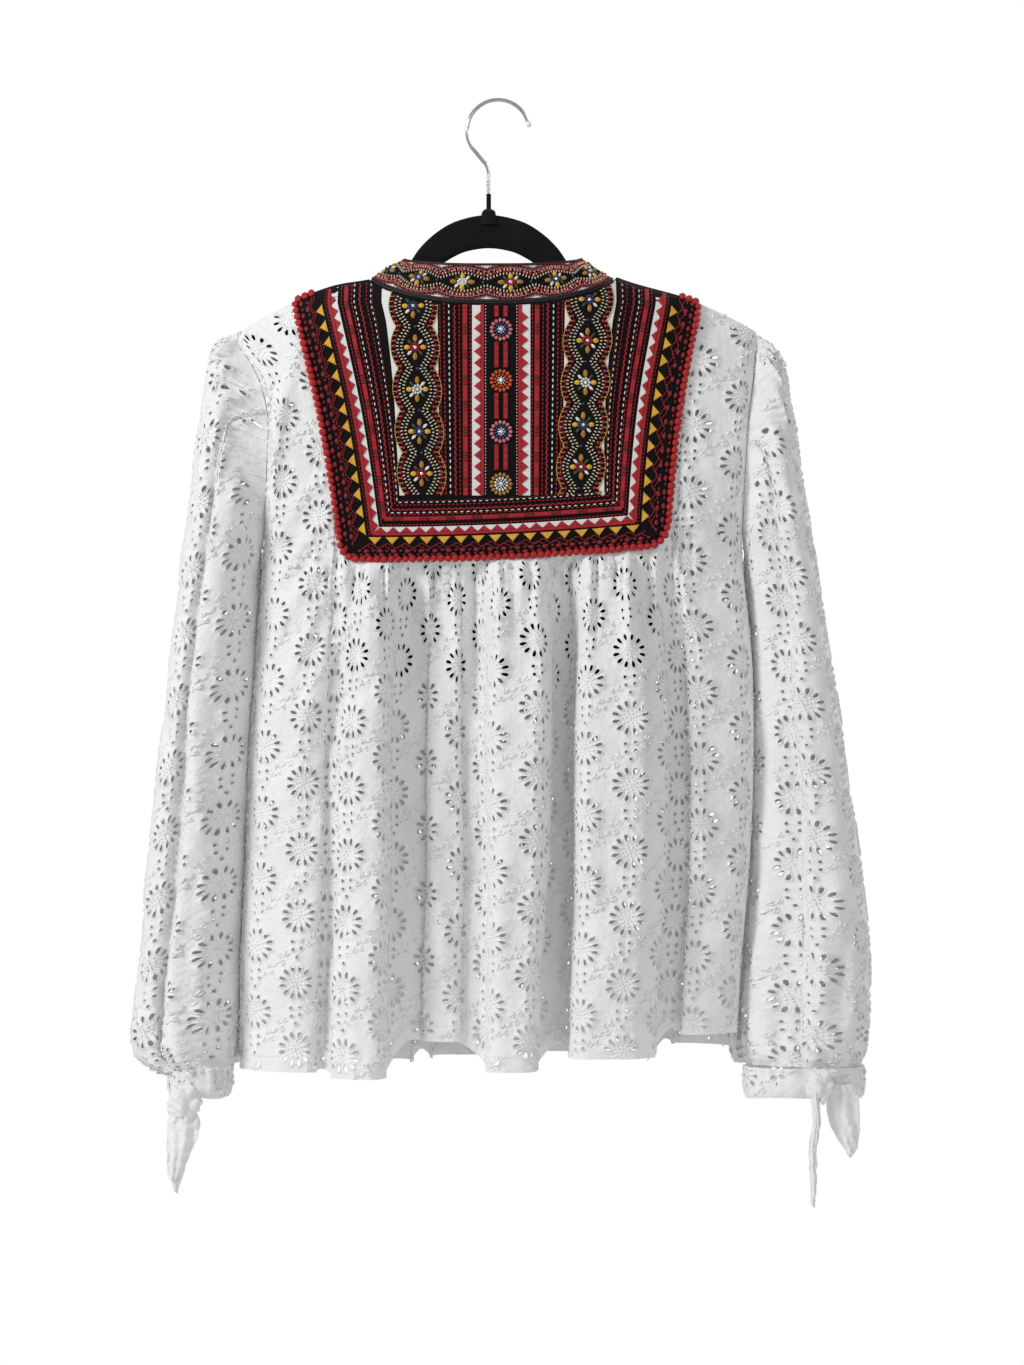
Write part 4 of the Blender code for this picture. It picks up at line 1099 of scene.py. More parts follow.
sleeveCreases = {
    "left": table(
        "start end tall wide",
        ((-0.236, -0.255), (-0.25, -0.42), 0.0026, 0.005),
        ((-0.222, -0.235), (-0.232, -0.36), 0.0024, 0.005),
        ((-0.246, -0.3), (-0.262, -0.56), -0.002, 0.005),
        ((-0.228, -0.38), (-0.222, -0.64), 0.0026, 0.0055),
        ((-0.216, -0.44), (-0.214, -0.7), -0.0022, 0.005),
        ((-0.262, -0.52), (-0.272, -0.74), 0.0022, 0.0055),
        ((-0.236, -0.6), (-0.24, -0.768), -0.003, 0.005),
        ((-0.226, -0.64), (-0.234, -0.77), 0.0026, 0.0045),
        ((-0.256, -0.66), (-0.25, -0.772), 0.0024, 0.005),
    ),
    "right": table(
        "start end tall wide",
        ((0.222, -0.232), (0.236, -0.34), 0.0026, 0.0045),
        ((0.232, -0.25), (0.25, -0.4), 0.0024, 0.005),
        ((0.214, -0.262), (0.222, -0.4), 0.0022, 0.0045),
        ((0.246, -0.38), (0.262, -0.6), 0.0024, 0.006),
        ((0.228, -0.42), (0.232, -0.66), -0.0024, 0.0055),
        ((0.262, -0.52), (0.278, -0.72), -0.0022, 0.006),
        ((0.25, -0.6), (0.258, -0.765), 0.0028, 0.0055),
        ((0.27, -0.64), (0.266, -0.77), 0.0028, 0.005),
        ((0.284, -0.66), (0.274, -0.772), -0.003, 0.005),
        ((0.212, -0.65), (0.222, -0.77), 0.0022, 0.006),
    ),
}


def sleeveForm(name):
    loop = np.array([(row["across"], row["deep"]) for row in sleeveLoops[name]])
    at, _ = spreadEvenly(loop, sleeve["around"] + 1, closed=True)
    loop = through(loop, at[:-1], closed=True)
    loop[:, 0] = np.clip(loop[:, 0], 0, 1)
    loop = np.roll(loop, -int(np.argmax(loop[:, 0])), axis=0)
    across, deep = loop[:, 0], loop[:, 1]
    plain = np.sqrt(np.clip(1 - np.abs(2 * across - 1) ** 2.4, 0, 1)) * np.sign(deep)
    outward = -1 if name == "left" else 1
    z = form["shoulderZ"] + across * (form["underarmZ"] - form["shoulderZ"])
    x = follow(bodyEdgeRows, "z", name, z) + outward * sleeve["gap"]
    rings = [pillar(x, np.sign(deep) * armholeDepth(z), z)]
    rows = sleeveRows[name]
    for i, row in enumerate(rows):
        folded = float(smooth(i / 7)) * float(smooth((len(rows) - i) / 3))
        outer, inner = np.array(row["outer"]), np.array(row["inner"])
        flat = outer + across[:, None] * (inner - outer)
        shape = folded * deep + (1 - folded) * plain
        tucked = smooth((across - sleeve["tuckFrom"]) / (1 - sleeve["tuckFrom"])) * smooth(i / 5)
        x = flat[:, 0] - outward * sleeve["tuckIn"] * tucked
        rings.append(pillar(x, shape * row["deep"] + sleeve["tuckBehind"] * tucked, flat[:, 1]))
    fine = through(np.array(rings)[::-1], np.linspace(0, len(rings) - 1, 24 * len(rings)))
    if name == "right":
        fine = fine[:, ::-1]
    fine = np.concatenate([fine, fine[:, :1]], axis=1)
    beyond = fine[-1] + (fine[-1] - fine[-3]) * 8
    fine = np.concatenate([fine, beyond[None]], axis=0)
    steps = np.linalg.norm(np.diff(fine, axis=0), axis=2)
    run = np.concatenate([np.zeros((1, fine.shape[1])), np.cumsum(steps, axis=0)])
    reach = run[-2]
    top = float(reach.max())
    t = np.arange(top, 0, -sleeve["step"])
    t = np.linspace(top, 0.0, len(t))
    grid = np.empty((fine.shape[1], len(t), 3))
    for i in range(fine.shape[1]):
        for k in range(3):
            grid[i, :, k] = np.interp(t, run[:, i], fine[:, i, k])
    cloth = clothForm(grid, sleeve["flat"], top, 0.0)
    s = np.linspace(0, sleeve["flat"], fine.shape[1])[:, None]
    t = t[None, :]
    below = np.maximum(reach[:, None] - t, 0)
    onHead = np.exp(-(((s - sleeve["flat"] / 2) / 0.1) ** 2))
    wave = np.sin(tau * s / 0.0125 + 1.3 * np.sin(s * 61)) + 0.6 * np.sin(tau * s / 0.0272 + 1)
    lift = sleeve["headGather"] * wave * onHead * np.exp(-below / 0.062) * (1 - np.exp(-below / 0.004))
    wave = np.sin(tau * s / 0.01 + 1.5 * np.sin(s * 47)) + 0.7 * np.sin(tau * s / 0.0231)
    lift = lift + sleeve["cuffGather"] * wave * np.exp(-t / 0.034) * np.minimum(1, 0.3 + t / 0.02)
    shown = np.where(grid[:, :, 1] < 0, 1.0, 0.75)
    lift = lift + shown * creaseHeights(sleeveCreases[name], grid[:, :, 0], grid[:, :, 2])
    crumple = softNoise(grid[::4, ::4], (30.0, 30.0, 14.0), 11.0 + outward)
    fineNoise = softNoise(grid[::2, ::2], (70.0, 70.0, 34.0), 17.0 + outward)
    edge = np.minimum(1, np.minimum(below / 0.01, s * 60 + 0.2))
    edge = edge * np.minimum(1, (sleeve["flat"] - s) * 60 + 0.2)
    for height, rough in ((0.0024, crumple), (0.0011, fineNoise)):
        lift = lift + edge * height * spread(rough, grid.shape[:2])
    lift[-1] = lift[0]
    cloth = clothForm(grid + cloth["normals"] * lift[:, :, None], sleeve["flat"], top, 0.0)
    cloth["points"][-1] = cloth["points"][0]
    cloth["reach"] = reach
    cloth["phase"] = 0.3 if name == "left" else 0.7
    return cloth


def sleeveOutline(cloth):
    width, reach = cloth["width"], cloth["reach"]
    s = np.linspace(0, width, 130)
    cap = pillar(s, np.interp(s, np.linspace(0, width, len(reach)), reach))
    seamT = np.linspace(0, reach[0], 150)
    left = pillar(0 * seamT, seamT)
    right = pillar(0 * seamT + width, seamT)
    hem = pillar(s, 0 * s)
    return np.vstack([left[:-1], cap[:-1], right[::-1][:-1], hem[::-1][:-1]])


def addSleeves(material):
    for name in sleeveRows:
        cloth = sleeveForm(name)
        outline = sleeveOutline(cloth)
        inside = insidePolygon(outline)
        obj = eyeletCloth(f"sleeve_{name}_eyelet", cloth, outline, inside, 8, 5, seamed=True)
        dress(obj, material, "cotton", f"sleeve_{name}")
        addCuff(name, material)


def ringsObject(name, rings, smoothAngle=60, capped=False):
    # a tube of cloth through rings of points
    rings = np.asarray(rings, float)
    bm = bmesh.new()
    rows = [[bm.verts.new(p) for p in ring] for ring in rings]
    for upper, lower in zip(rows, rows[1:]):
        for i in range(len(upper)):
            j = (i + 1) % len(upper)
            bm.faces.new((upper[i], upper[j], lower[j], lower[i]))
    if capped:
        bm.faces.new(rows[0][::-1])
        bm.faces.new(rows[-1])
    bmesh.ops.recalc_face_normals(bm, faces=bm.faces)
    return meshObject(name, bm, smoothAngle)


def ovalLoop(centre, halfWidth, halfDepth, count, power=2.6):
    turn = np.linspace(0, tau, count, endpoint=False)
    c, s = np.cos(turn), np.sin(turn)
    x = centre - halfWidth * np.sign(c) * np.abs(c) ** (2 / power)
    y = -halfDepth * np.sign(s) * np.abs(s) ** (2 / power)
    return x, y, turn


def addCuff(name, material):
    # a band of the same cloth, lightly pleated where the sleeve is gathered into it
    cuff = cuffs[name]
    x, y, turn = ovalLoop(cuff["centre"], cuff["halfWidth"] + 0.0007, cuff["halfDepth"] + 0.0007, 420)
    around = pillar(x, y)
    out = around - [cuff["centre"], 0.0]
    out /= np.linalg.norm(out, axis=1, keepdims=True)
    ripple = np.sin(turn * 27 + 1.6 * np.sin(turn * 5)) + 0.7 * np.sin(turn * 13 + 2)
    rows = np.linspace(0, 1, 26)
    grid = np.empty((421, 26, 3))
    for k, share in enumerate(rows):
        puff = 0.0016 * math.sin(math.pi * share) ** 0.7 + 0.0004 * math.cos(9 * share)
        swing = 0.0011 * math.exp(-((share / 0.55) ** 2)) + 0.0003
        ring = around + out * (puff + swing * ripple)[:, None]
        z = cuff["top"] - cuff["height"] * share - 0.001 * share * np.sin(turn * 3 + 1)
        grid[:420, k] = np.column_stack([ring, z])
    grid[420] = grid[0]
    if name == "right":
        grid = grid[::-1]
    girth = float(np.linalg.norm(np.diff(grid[:, 12], axis=0), axis=1).sum())
    cloth = clothForm(grid, girth, cuff["height"], 0.0)
    fromMiddle = grid[:420, 12, :2] - [cuff["centre"], 0.0]
    if np.mean(np.sum(cloth["normals"][:420, 12, :2] * fromMiddle, axis=1)) < 0:
        cloth = clothForm(grid[::-1], girth, cuff["height"], 0.0)
    cloth["phase"] = 0.35
    s = np.linspace(0, girth, 90)
    cloth["seams"] = [pillar(s, 0 * s + t)[1:-1] for t in (0.0022, cuff["height"] - 0.0022)]
    t = np.linspace(0, cuff["height"], 14)
    outline = np.vstack(
        [
            pillar(s, 0 * s)[:-1],
            pillar(0 * t + girth, t)[:-1],
            pillar(s, 0 * s + cuff["height"])[::-1][:-1],
            pillar(0 * t, t)[::-1][:-1],
        ]
    )
    obj = eyeletCloth(f"cuff_{name}_band", cloth, outline, insidePolygon(outline), 7, 5, 0.6, seamed=True)
    dress(obj, material, "cotton", f"cuff_{name}")


knots = {
    "left": dict(at=(-0.2496, -0.802), size=(0.0135, 0.0095, 0.0165)),
    "right": dict(at=(0.256, -0.789), size=(0.011, 0.0095, 0.0145)),
}
ties = {
    "tie_left_outer": dict(
        knot="left",
        ahead=0.0021,
        rows=table(
            "x z wide thick",
            (-0.2495, -0.8189, 0.027, 0.0034), (-0.251, -0.83, 0.024, 0.0036),
            (-0.254, -0.843, 0.018, 0.0034), (-0.257, -0.856, 0.011, 0.003),
            (-0.259, -0.864, 0.004, 0.0024),
        ),
    ),
    "tie_left_inner": dict(
        knot="left",
        ahead=-0.0021,
        rows=table(
            "x z wide thick",
            (-0.248, -0.819, 0.018, 0.0028), (-0.2505, -0.833, 0.017, 0.003),
            (-0.2535, -0.85, 0.012, 0.003), (-0.256, -0.864, 0.008, 0.0026),
            (-0.2563, -0.8735, 0.003, 0.0022),
        ),
    ),
    "tie_right_thin": dict(
        knot="right",
        ahead=0.0025,
        rows=table(
            "x z wide thick",
            (0.2525, -0.8034, 0.007, 0.005), (0.2535, -0.819, 0.0062, 0.0052),
            (0.2505, -0.84, 0.0064, 0.0048), (0.251, -0.864, 0.006, 0.0044),
            (0.2506, -0.885, 0.003, 0.003),
        ),
    ),
    "tie_right_wide": dict(
        knot="right",
        ahead=-0.0045,
        rows=table(
            "x z wide thick",
            (0.275, -0.799, 0.0256, 0.0034), (0.2755, -0.814, 0.0262, 0.0036),
            (0.278, -0.828, 0.021, 0.0034), (0.2805, -0.84, 0.011, 0.003),
            (0.28, -0.8465, 0.003, 0.0024),
        ),
    ),
}


def knotMiddle(name):
    x, z = knots[name]["at"]
    return Vector((x, -cuffs[name]["halfDepth"] - form["wall"] - form["seam"] - knots[name]["size"][1], z))


def addTies(material):
    for name, knot in knots.items():
        bm = bmesh.new()
        bmesh.ops.create_uvsphere(bm, u_segments=56, v_segments=40, radius=1.0)
        for vert in bm.verts:
            p = vert.co.copy()
            wrap = math.cos(5.5 * (p.x + 0.45 * p.z) + 0.8) * 0.08
            pleats = math.cos(15 * p.z + 6 * p.x + 1.5 * p.y) * 0.045
            dent = -0.2 * math.exp(-((p.x * 0.6 - p.z * 0.4 - 0.3) ** 2) / 0.01)
            rough = 0.09 * noise.noise(p * 2.3 + Vector((3, 1, 7))) + 0.07 * noise.noise(p * 6.5)
            vert.co = p * (0.97 + wrap + pleats + dent + rough)
        bmesh.ops.scale(bm, vec=Vector(knot["size"]), verts=bm.verts)
        bmesh.ops.translate(bm, vec=knotMiddle(name), verts=bm.verts)
        obj = meshObject(f"knot_{name}_tied", bm)
        dress(obj, material, "cotton", f"knot_{name}")
    for name, tie in ties.items():
        rows = tie["rows"]
        table = np.array([[row["x"], row["z"], row["wide"], row["thick"]] for row in rows])
        fine = through(table, np.linspace(0, len(rows) - 1, 84))
        knot = knotMiddle(tie["knot"])
        upper = np.array([[table[0, 0], knot.z, table[0, 2] * 0.55, table[0, 3] * 1.2]])
        fine = np.vstack([through(np.vstack([upper, table[:2]]), np.linspace(0, 1, 12))[:-1], fine])
        around = np.linspace(0, tau, 52, endpoint=False)
        rings = []
        for k, (x, z, wide, thick) in enumerate(fine):
            u = np.cos(around)
            pleat = 0.22 * thick * np.cos(2.6 * math.pi * u + 0.07 * k) + 0.3 * thick * np.cos(math.pi * u)
            px = x - u * wide / 2
            swell = np.sin(around) * thick / 2 * np.sqrt(np.abs(np.sin(around)) + 0.15)
            py = knot.y - tie["ahead"] - swell - pleat
            grain = [[Vector((a * f, b * 160, z * f)) for f in (150, 330)] for a, b in zip(px, py)]
            worn = [[noise.noise(p) for p in pair] for pair in grain]
            worn = np.array(worn) @ [0.0015, 0.0007]
            px, py = px + worn * 0.5, py - worn
            rings.append(pillar(px, py, z + 0.0012 * u * (z < table[0, 1])))
        obj = ringsObject(f"{name}_end", rings, capped=True)
        dress(obj, material, "cotton", name)
        wide = float(fine[:, 2].mean())
    print("ties made")


# yokes: the embroidered ground, its bands and medallions
yoke = dict(columns=64, rows=40, white=0.0003, chain=0.00055, thread=0.00095, slitHalf=0.001)


def yokePlace(side, x, z, lift):
    return pillar(x, side * (torsoDepth(x, z) + form["yokeWall"] + lift), z)


def yokeGrid(side, low=-1.0, high=1.0):
    share = np.sin(np.linspace(math.asin(low), math.asin(high), yoke["columns"] + 1))
    zTop = np.full_like(share, form["neckMiddleZ"][side])
    zLow = np.full_like(share, yokeBottom[side]["middle"])
    for _ in range(8):
        centre, half = yokeSide(side, zTop)
        zTop = yokeTopZ(side, centre + share * half)
        centre, half = yokeSide(side, zLow)
        zLow = yokeBottomZ(side, centre + share * half)
    down = np.linspace(0, 1, yoke["rows"] + 1)[:, None]
    z = zTop + (zLow - zTop) * down
    centre, half = yokeSide(side, z)
    x = centre + share * half
    y = side * (torsoDepth(x, z) + form["yokeWall"] / 2)
    return np.stack([x, y, z], axis=2)


def gridObject(name, grid, outward, thickness=0.0):
    # a sheet through a grid of points, facing outward, with an optional wall
    rows, columns = grid.shape[:2]
    bm = bmesh.new()
    bmesh.ops.create_grid(bm, x_segments=columns - 1, y_segments=rows - 1, size=0.5)
    bm.verts.ensure_lookup_table()
    for vert in bm.verts:
        j = int(round((vert.co.x + 0.5) * (columns - 1)))
        i = int(round((0.5 - vert.co.y) * (rows - 1)))
        vert.co = grid[i, j]
    bm.normal_update()
    if sum((f.normal.dot(Vector(outward(f.calc_center_median()))) for f in bm.faces)) < 0:
        bmesh.ops.reverse_faces(bm, faces=bm.faces)
    obj = meshObject(name, bm)
    if thickness:
        wall = obj.modifiers.new("wall", "SOLIDIFY")
        wall.thickness = thickness
        wall.offset = 0.0
    return obj


# each thread's dark colour is painted shade in the gaps between its strands, and random tone in spots
threads = dict(
    red=dict(colour=(0.42, 0.004, 0.014), dark=(0.12, 0.001, 0.004)),
    darkRed=dict(colour=(0.2, 0.004, 0.01), dark=(0.05, 0.001, 0.003)),
    yellow=dict(colour=(0.78, 0.42, 0.035), dark=(0.42, 0.19, 0.012)),
    gold=dict(colour=(0.44, 0.21, 0.025), dark=(0.2, 0.08, 0.008)),
    cream=dict(colour=(0.72, 0.66, 0.46), dark=(0.42, 0.36, 0.22)),
    white=dict(colour=(0.84, 0.84, 0.82), dark=(0.55, 0.55, 0.53)),
    navy=dict(colour=(0.03, 0.05, 0.18), dark=(0.008, 0.012, 0.05)),
    green=dict(colour=(0.03, 0.07, 0.03), dark=(0.01, 0.03, 0.01)),
    pink=dict(colour=(0.66, 0.2, 0.23), dark=(0.36, 0.05, 0.07)),
    orange=dict(colour=(0.62, 0.09, 0.012), dark=(0.28, 0.02, 0.005)),
    berry=dict(colour=(0.26, 0.003, 0.01), dark=(0.07, 0.001, 0.003)),
    black=dict(colour=(0.01, 0.008, 0.009), dark=(0.003, 0.003, 0.003)),
)
threadFinish = {}


def groundMaterial(name, colour, dark):
    # closely stitched ground: short rows of thread, with painted shade between the rows
    material, nodes, links, shader = newMaterial(name)
    place = nodes.new("ShaderNodeTexCoord").outputs["Object"]
    grain = dict(Scale=wavesPerMetre / 0.0011, Distortion=3.0, Detail=2.0)
    rows = texture(nodes, links, "Wave", place, "Z", **grain)
    cells = texture(nodes, links, "Voronoi", place, Scale=900.0)
    # the dark colour lies between the rows of thread as painted shade
    links.new(mixColour(nodes, links, rows, dark, colour), shader.inputs["Base Color"])
    setInputs(shader, Roughness=0.75, Sheen_Weight=0.01, Specular_IOR_Level=0.12)
    bumpChain(nodes, links, shader, [(rows, 0.5, 0.0004), (cells, 0.4, 0.0004)])
    return material


def gemMaterial(name, colour):
    material, nodes, links, shader = newMaterial(name)
    facetsAndGlints = texture(nodes, links, "Voronoi", Scale=1400.0)
    # painted glints: the colour whitens away from the middle of each facet cell
    paint = mixColour(nodes, links, facetsAndGlints, colour, (0.95, 0.97, 1.0))
    links.new(paint, shader.inputs["Base Color"])
    setInputs(shader, Metallic=0.7, Roughness=0.12)
    bumpChain(nodes, links, shader, [(facetsAndGlints, 0.5, 0.0006)])
    return material


def finishOf(colour):
    if colour not in threadFinish:
        if colour == "gem":
            threadFinish[colour] = gemMaterial("rhinestone", (0.62, 0.66, 0.7))
        else:
            row = threads[colour]
            threadFinish[colour] = threadMaterial(f"{colour}Thread", row["colour"], row["dark"])
    return threadFinish[colour]


def walk(line, pitch, inset=0.0):
    # evenly spaced places along a line of points, with their direction
    line = np.asarray(line, float)
    run = runOf(line)
    count = max(1, int(round((run[-1] - 2 * inset) / pitch)))
    at = inset + (np.arange(count) + 0.5) * (run[-1] - 2 * inset) / count
    x, y = np.interp(at, run, line[:, 0]), np.interp(at, run, line[:, 1])
    near = 0.0012
    dx = np.interp(at + near, run, line[:, 0]) - np.interp(at - near, run, line[:, 0])
    dy = np.interp(at + near, run, line[:, 1]) - np.interp(at - near, run, line[:, 1])
    return x, y, np.arctan2(dy, dx)


class Needle:
    # gathers stitches of each colour, then lays them as one joined piece for each
    def __init__(self, lay, allowed):
        self.lay, self.allowed, self.rows = lay, allowed, {}

    def sew(self, colour, shape, rows):
        rows = np.asarray(rows, float).reshape(-1, 7)
        rows = rows[self.allowed(rows[:, 0], rows[:, 1], rows[:, 3])]
        if len(rows):
            self.rows.setdefault(colour, []).append((shape, rows))

    def run(self, colour, shape, line, pitch, long, wide, tall, start=None, lean=0.0, inset=0.0):
        x, y, turn = walk(line, pitch, inset)
        lean = np.where(np.arange(len(x)) % 2, lean, -lean)
        start = yoke["thread"] - 0.0006 if start is None else start
        self.sew(colour, shape, pillar(x, y, turn + lean, long, wide, tall, start))

    def finish(self, name, slot):
        made = []
        for colour, stamps in self.rows.items():
            points, faces = joinParts([stampMany(shape, rows, self.lay) for shape, rows in stamps])
            obj = arrayObject(f"{name}_{colour}", points, faces, smoothAngle=50)
            dress(obj, finishOf(colour), slot)
            made.append(obj)
        return made


def medallion(needle, place, jewel, leafWhite, reach=(1.0, 1.0), lowest=-9.0):
    # place maps the medallion's own (across, along, turn) onto the cloth
    def put(colour, shape, a, b, turn, long, wide, tall, start=0.0006):
        x, y, angle = place(a * reach[0], b * reach[1], turn)
        if y - long * 0.4 > lowest:
            needle.sew(colour, shape, [(x, y, angle, long, wide, tall, start)])

    for t, colour, long, wide in (
        (0.0, "yellow", 0.0054, 0.0044),
        (math.pi, "yellow", 0.0054, 0.0044),
        (math.pi / 2, "gold", 0.0068, 0.004),
        (-math.pi / 2, "gold", 0.0068, 0.004),
    ):
        put(colour, "bead", 0.0064 * math.cos(t), 0.0072 * math.sin(t), t, long, wide, 0.0018)
    for k in range(4):
        t = math.pi / 4 + k * math.pi / 2
        colour = "white" if (k % 2 == 0) == leafWhite else "green"
        put(colour, "bead", 0.0062 * math.cos(t), 0.0062 * math.sin(t), t, 0.005, 0.0026, 0.0015)
    for k in range(9):
        t = tau * k / 9
        put(jewel, "bead", 0.0031 * math.cos(t), 0.0031 * math.sin(t), t, 0.0024, 0.0022, 0.0018, 0.0008)
    put("gem", "bead", 0.0, 0.0, 0.3, 0.0038, 0.0038, 0.0022, 0.001)
    put("navy", "bead", 0.0, 0.0167, 0.0, 0.0026, 0.0022, 0.0012)


def eyeRows(needle, lineAt, u, w, inner, pitch, scale=1.0):
    # rows of short stitches either side of a chain of eyes, beads and an outline along its scallops
    eye = inner[0] + inner[1] * np.abs(np.cos(math.pi * u / pitch)) ** 1.1
    rows = (
        (eye, "cream", "stitch", 0.0027, 0.0025, 0.0013, 0.0007, True),
        (eye + 0.0033 * scale, "cream", "stitch", 0.0028, 0.0026, 0.0013, 0.0007, True),
        (w - 0.0034 * scale, "red", "bead", 0.0043, 0.0028, 0.0027, 0.0012, False),
        (w - 0.0014 * scale, "cream", "stitch", 0.0043, 0.0016, 0.0009, 0.0005, True),
    )
    for edge in (-1, 1):
        for offset, colour, shape, step, long, wide, tall, crosswise in rows:
            x, y, turn = walk(lineAt(edge * offset), step)
            turn = turn + math.pi / 2 if crosswise else turn
            needle.sew(colour, shape, pillar(x, y, turn, long, wide, tall, 0.0006))


def scallop(u, pitch=0.0336, waist=0.0143, bulge=0.0054):
    return waist + bulge * np.abs(np.cos(math.pi * u / pitch)) ** 0.8


chain = dict(pitch=0.0336, slope=0.052, middle=0.0668)
chainJewels = ("navy", "red", "white")


def laidStrip(x, z, lay, lift):
    points = lay(x.ravel(), z.ravel(), np.full(x.size, lift))
    rows, columns = x.shape
    first = (np.arange(rows - 1)[:, None] * columns + np.arange(columns - 1)).ravel().tolist()
    return points, [(a, a + columns, a + columns + 1, a + 1) for a in first]


def borderLine(side, d, e, zTop):
    # one line of the border, d in from the sides and e up from the bottom, mitred at its corners
    def sideX(sign, z):
        centre, half = yokeSide(side, z)
        closer = 0.178 * np.clip((-0.2024 - z) / 0.112, -0.2, 1.1) * (d / 0.064) ** 2
        return centre + sign * (half - d * (1 - closer))

    edge = yokeBottom[side]
    corners = []
    for sign in (-1, 1):
        z = edge["middle"]
        for _ in range(12):
            x = sideX(sign, z)
            z = edge["middle"] + edge["slope"] * x + edge["bend"] * x * x + e
        corners.append((float(x), float(z)))
    down = np.linspace(zTop, corners[0][1], 60)
    up = np.linspace(corners[1][1], zTop, 60)
    x = np.linspace(corners[0][0], corners[1][0], 80)
    bottom = edge["middle"] + edge["slope"] * x + edge["bend"] * x * x + e
    left = pillar(sideX(-1, down), down)
    right = pillar(sideX(1, up), up)
    return left, pillar(x, bottom), right


def yokeNeedlework(side, name):
    flip = 1 if side == back else -1

    def lay(x, z, w):
        return yokePlace(side, flip * x, z, w)

    def allowed(x, z, long):
        wx = flip * x
        centre, half = yokeSide(side, z)
        offSlit = (side == back) | (np.abs(wx) > 0.0035) | (z < -0.347)
        low = z < yokeTopZ(side, wx) - np.maximum(0.0012, 0.45 * long)
        high = z > yokeBottomZ(side, wx) + 0.0015
        return (np.abs(wx - centre) < half - 0.0018) & low & high & offSlit

    needle = Needle(lay, allowed)
    zTop = -0.136

    def mirrorLines(d, e):
        lines = borderLine(side, d, e, zTop)
        if side == front:
            lines = [pillar(-line[:, 0], line[:, 1])[::-1] for line in lines][::-1]
        return lines

    def ticks(line, long):
        # groups of four black stitches across a ribbon
        x, y, turn = walk(line, 0.02)
        for offset in (-0.0032, -0.0011, 0.0011, 0.0032):
            px, py = x + offset * np.cos(turn), y + offset * np.sin(turn)
            needle.sew("black", "stitch", pillar(px, py, turn + math.pi / 2, long, 0.0012, 0.0007, 0.0013))

    def ground(x, z, lift):
        # a strip of cloth under the stitches, kept below the yoke's top
        z = np.minimum(np.broadcast_to(z, x.shape), yokeTopZ(side, flip * x) - 0.001)
        return laidStrip(x, z, lay, yoke[lift])

    # outer zone: berries, zigzag and yellow teeth
    for d, e, shift in ((0.0046, 0.0026, 0.0), (0.0094, 0.0058, 0.006)):
        for line in mirrorLines(d, e):
            needle.run("berry", "bead", line, 0.0112, 0.005, 0.0036, 0.0016, inset=shift)
            beside = line + [0.0004, 0.0004]
            needle.run("darkRed", "bead", beside, 0.0112, 0.003, 0.002, 0.001, inset=0.006 - shift)
    for shift in (0.0, 0.0021):
        for line in mirrorLines(0.0136 - shift, 0.01 - 0.8 * shift):
            x, y, turn = walk(line, 0.0137 / 2)
            swing = 0.0021 * np.where(np.arange(len(x)) % 2, 1, -1)
            x, y = x - swing * np.sin(turn), y + swing * np.cos(turn)
            long, way = np.hypot(np.diff(x), np.diff(y)), np.arctan2(np.diff(y), np.diff(x))
            for part in (0.17, 0.5, 0.83):
                px, py = x[:-1] + np.diff(x) * part, y[:-1] + np.diff(y) * part
                needle.sew("berry", "stitch", pillar(px, py, way, long * 0.36, 0.0013, 0.0008, 0.0002))
    for line in mirrorLines(0.0217, 0.0171):
        x, y, turn = walk(line, 0.0137)
        out = turn - math.pi / 2
        rows = pillar(x, y, out - math.pi / 2, 0.0108, 0.006, 0.001, 0.0002)
        needle.sew("yellow", "tooth", rows)
    # red and white sawtooth band
    for d, e in ((0.0242, 0.0), (0.0257, 0.0)):
        for k, line in enumerate(mirrorLines(d, 0.0182)):
            if k != 1:
                needle.run("darkRed", "stitch", line, 0.003, 0.0029, 0.0009, 0.0006)
    for line in mirrorLines(0.0275, 0.0197):
        needle.run("red", "block", line, 0.0031, 0.0032, 0.0027, 0.0008)
    for line in mirrorLines(0.0288, 0.0208):
        x, y, turn = walk(line, 0.0102)
        rows = pillar(x, y, turn, 0.01, 0.0044, 0.0009, 0.0004)
        needle.sew("red", "tooth", rows)
    # stripes inside it
    stripes = (
        (0.0372, 0.0268, "red", "stitch", 0.003, 0.0026, 0.001, 0.0006, 0.0),
        (0.0409, 0.0316, "red", "block", 0.0031, 0.0031, 0.0036, 0.001, 0.0),
        (0.045, 0.035, "red", "stitch", 0.0038, 0.003, 0.0012, 0.0007, 0.0),
        (0.047, 0.0364, "white", "stitch", 0.005, 0.0033, 0.0011, 0.0006, 0.0),
        (0.0512, 0.0388, "red", "stitch", 0.0023, 0.0036, 0.0015, 0.001, 0.62),
        (0.0562, 0.0424, "red", "stitch", 0.0034, 0.0026, 0.0011, 0.0006, 0.0),
        (0.0594, 0.0446, "white", "stitch", 0.005, 0.003, 0.001, 0.0006, 0.0),
        (0.0606, 0.0456, "darkRed", "stitch", 0.003, 0.0026, 0.0009, 0.0005, 0.0),
    )
    for d, e, colour, shape, pitch, long, wide, tall, lean in stripes:
        for line in mirrorLines(d, e):
            needle.run(colour, shape, line, pitch, long, wide, tall, lean=lean)
    for line in mirrorLines(0.0409, 0.0316):
        ticks(line, 0.0044)
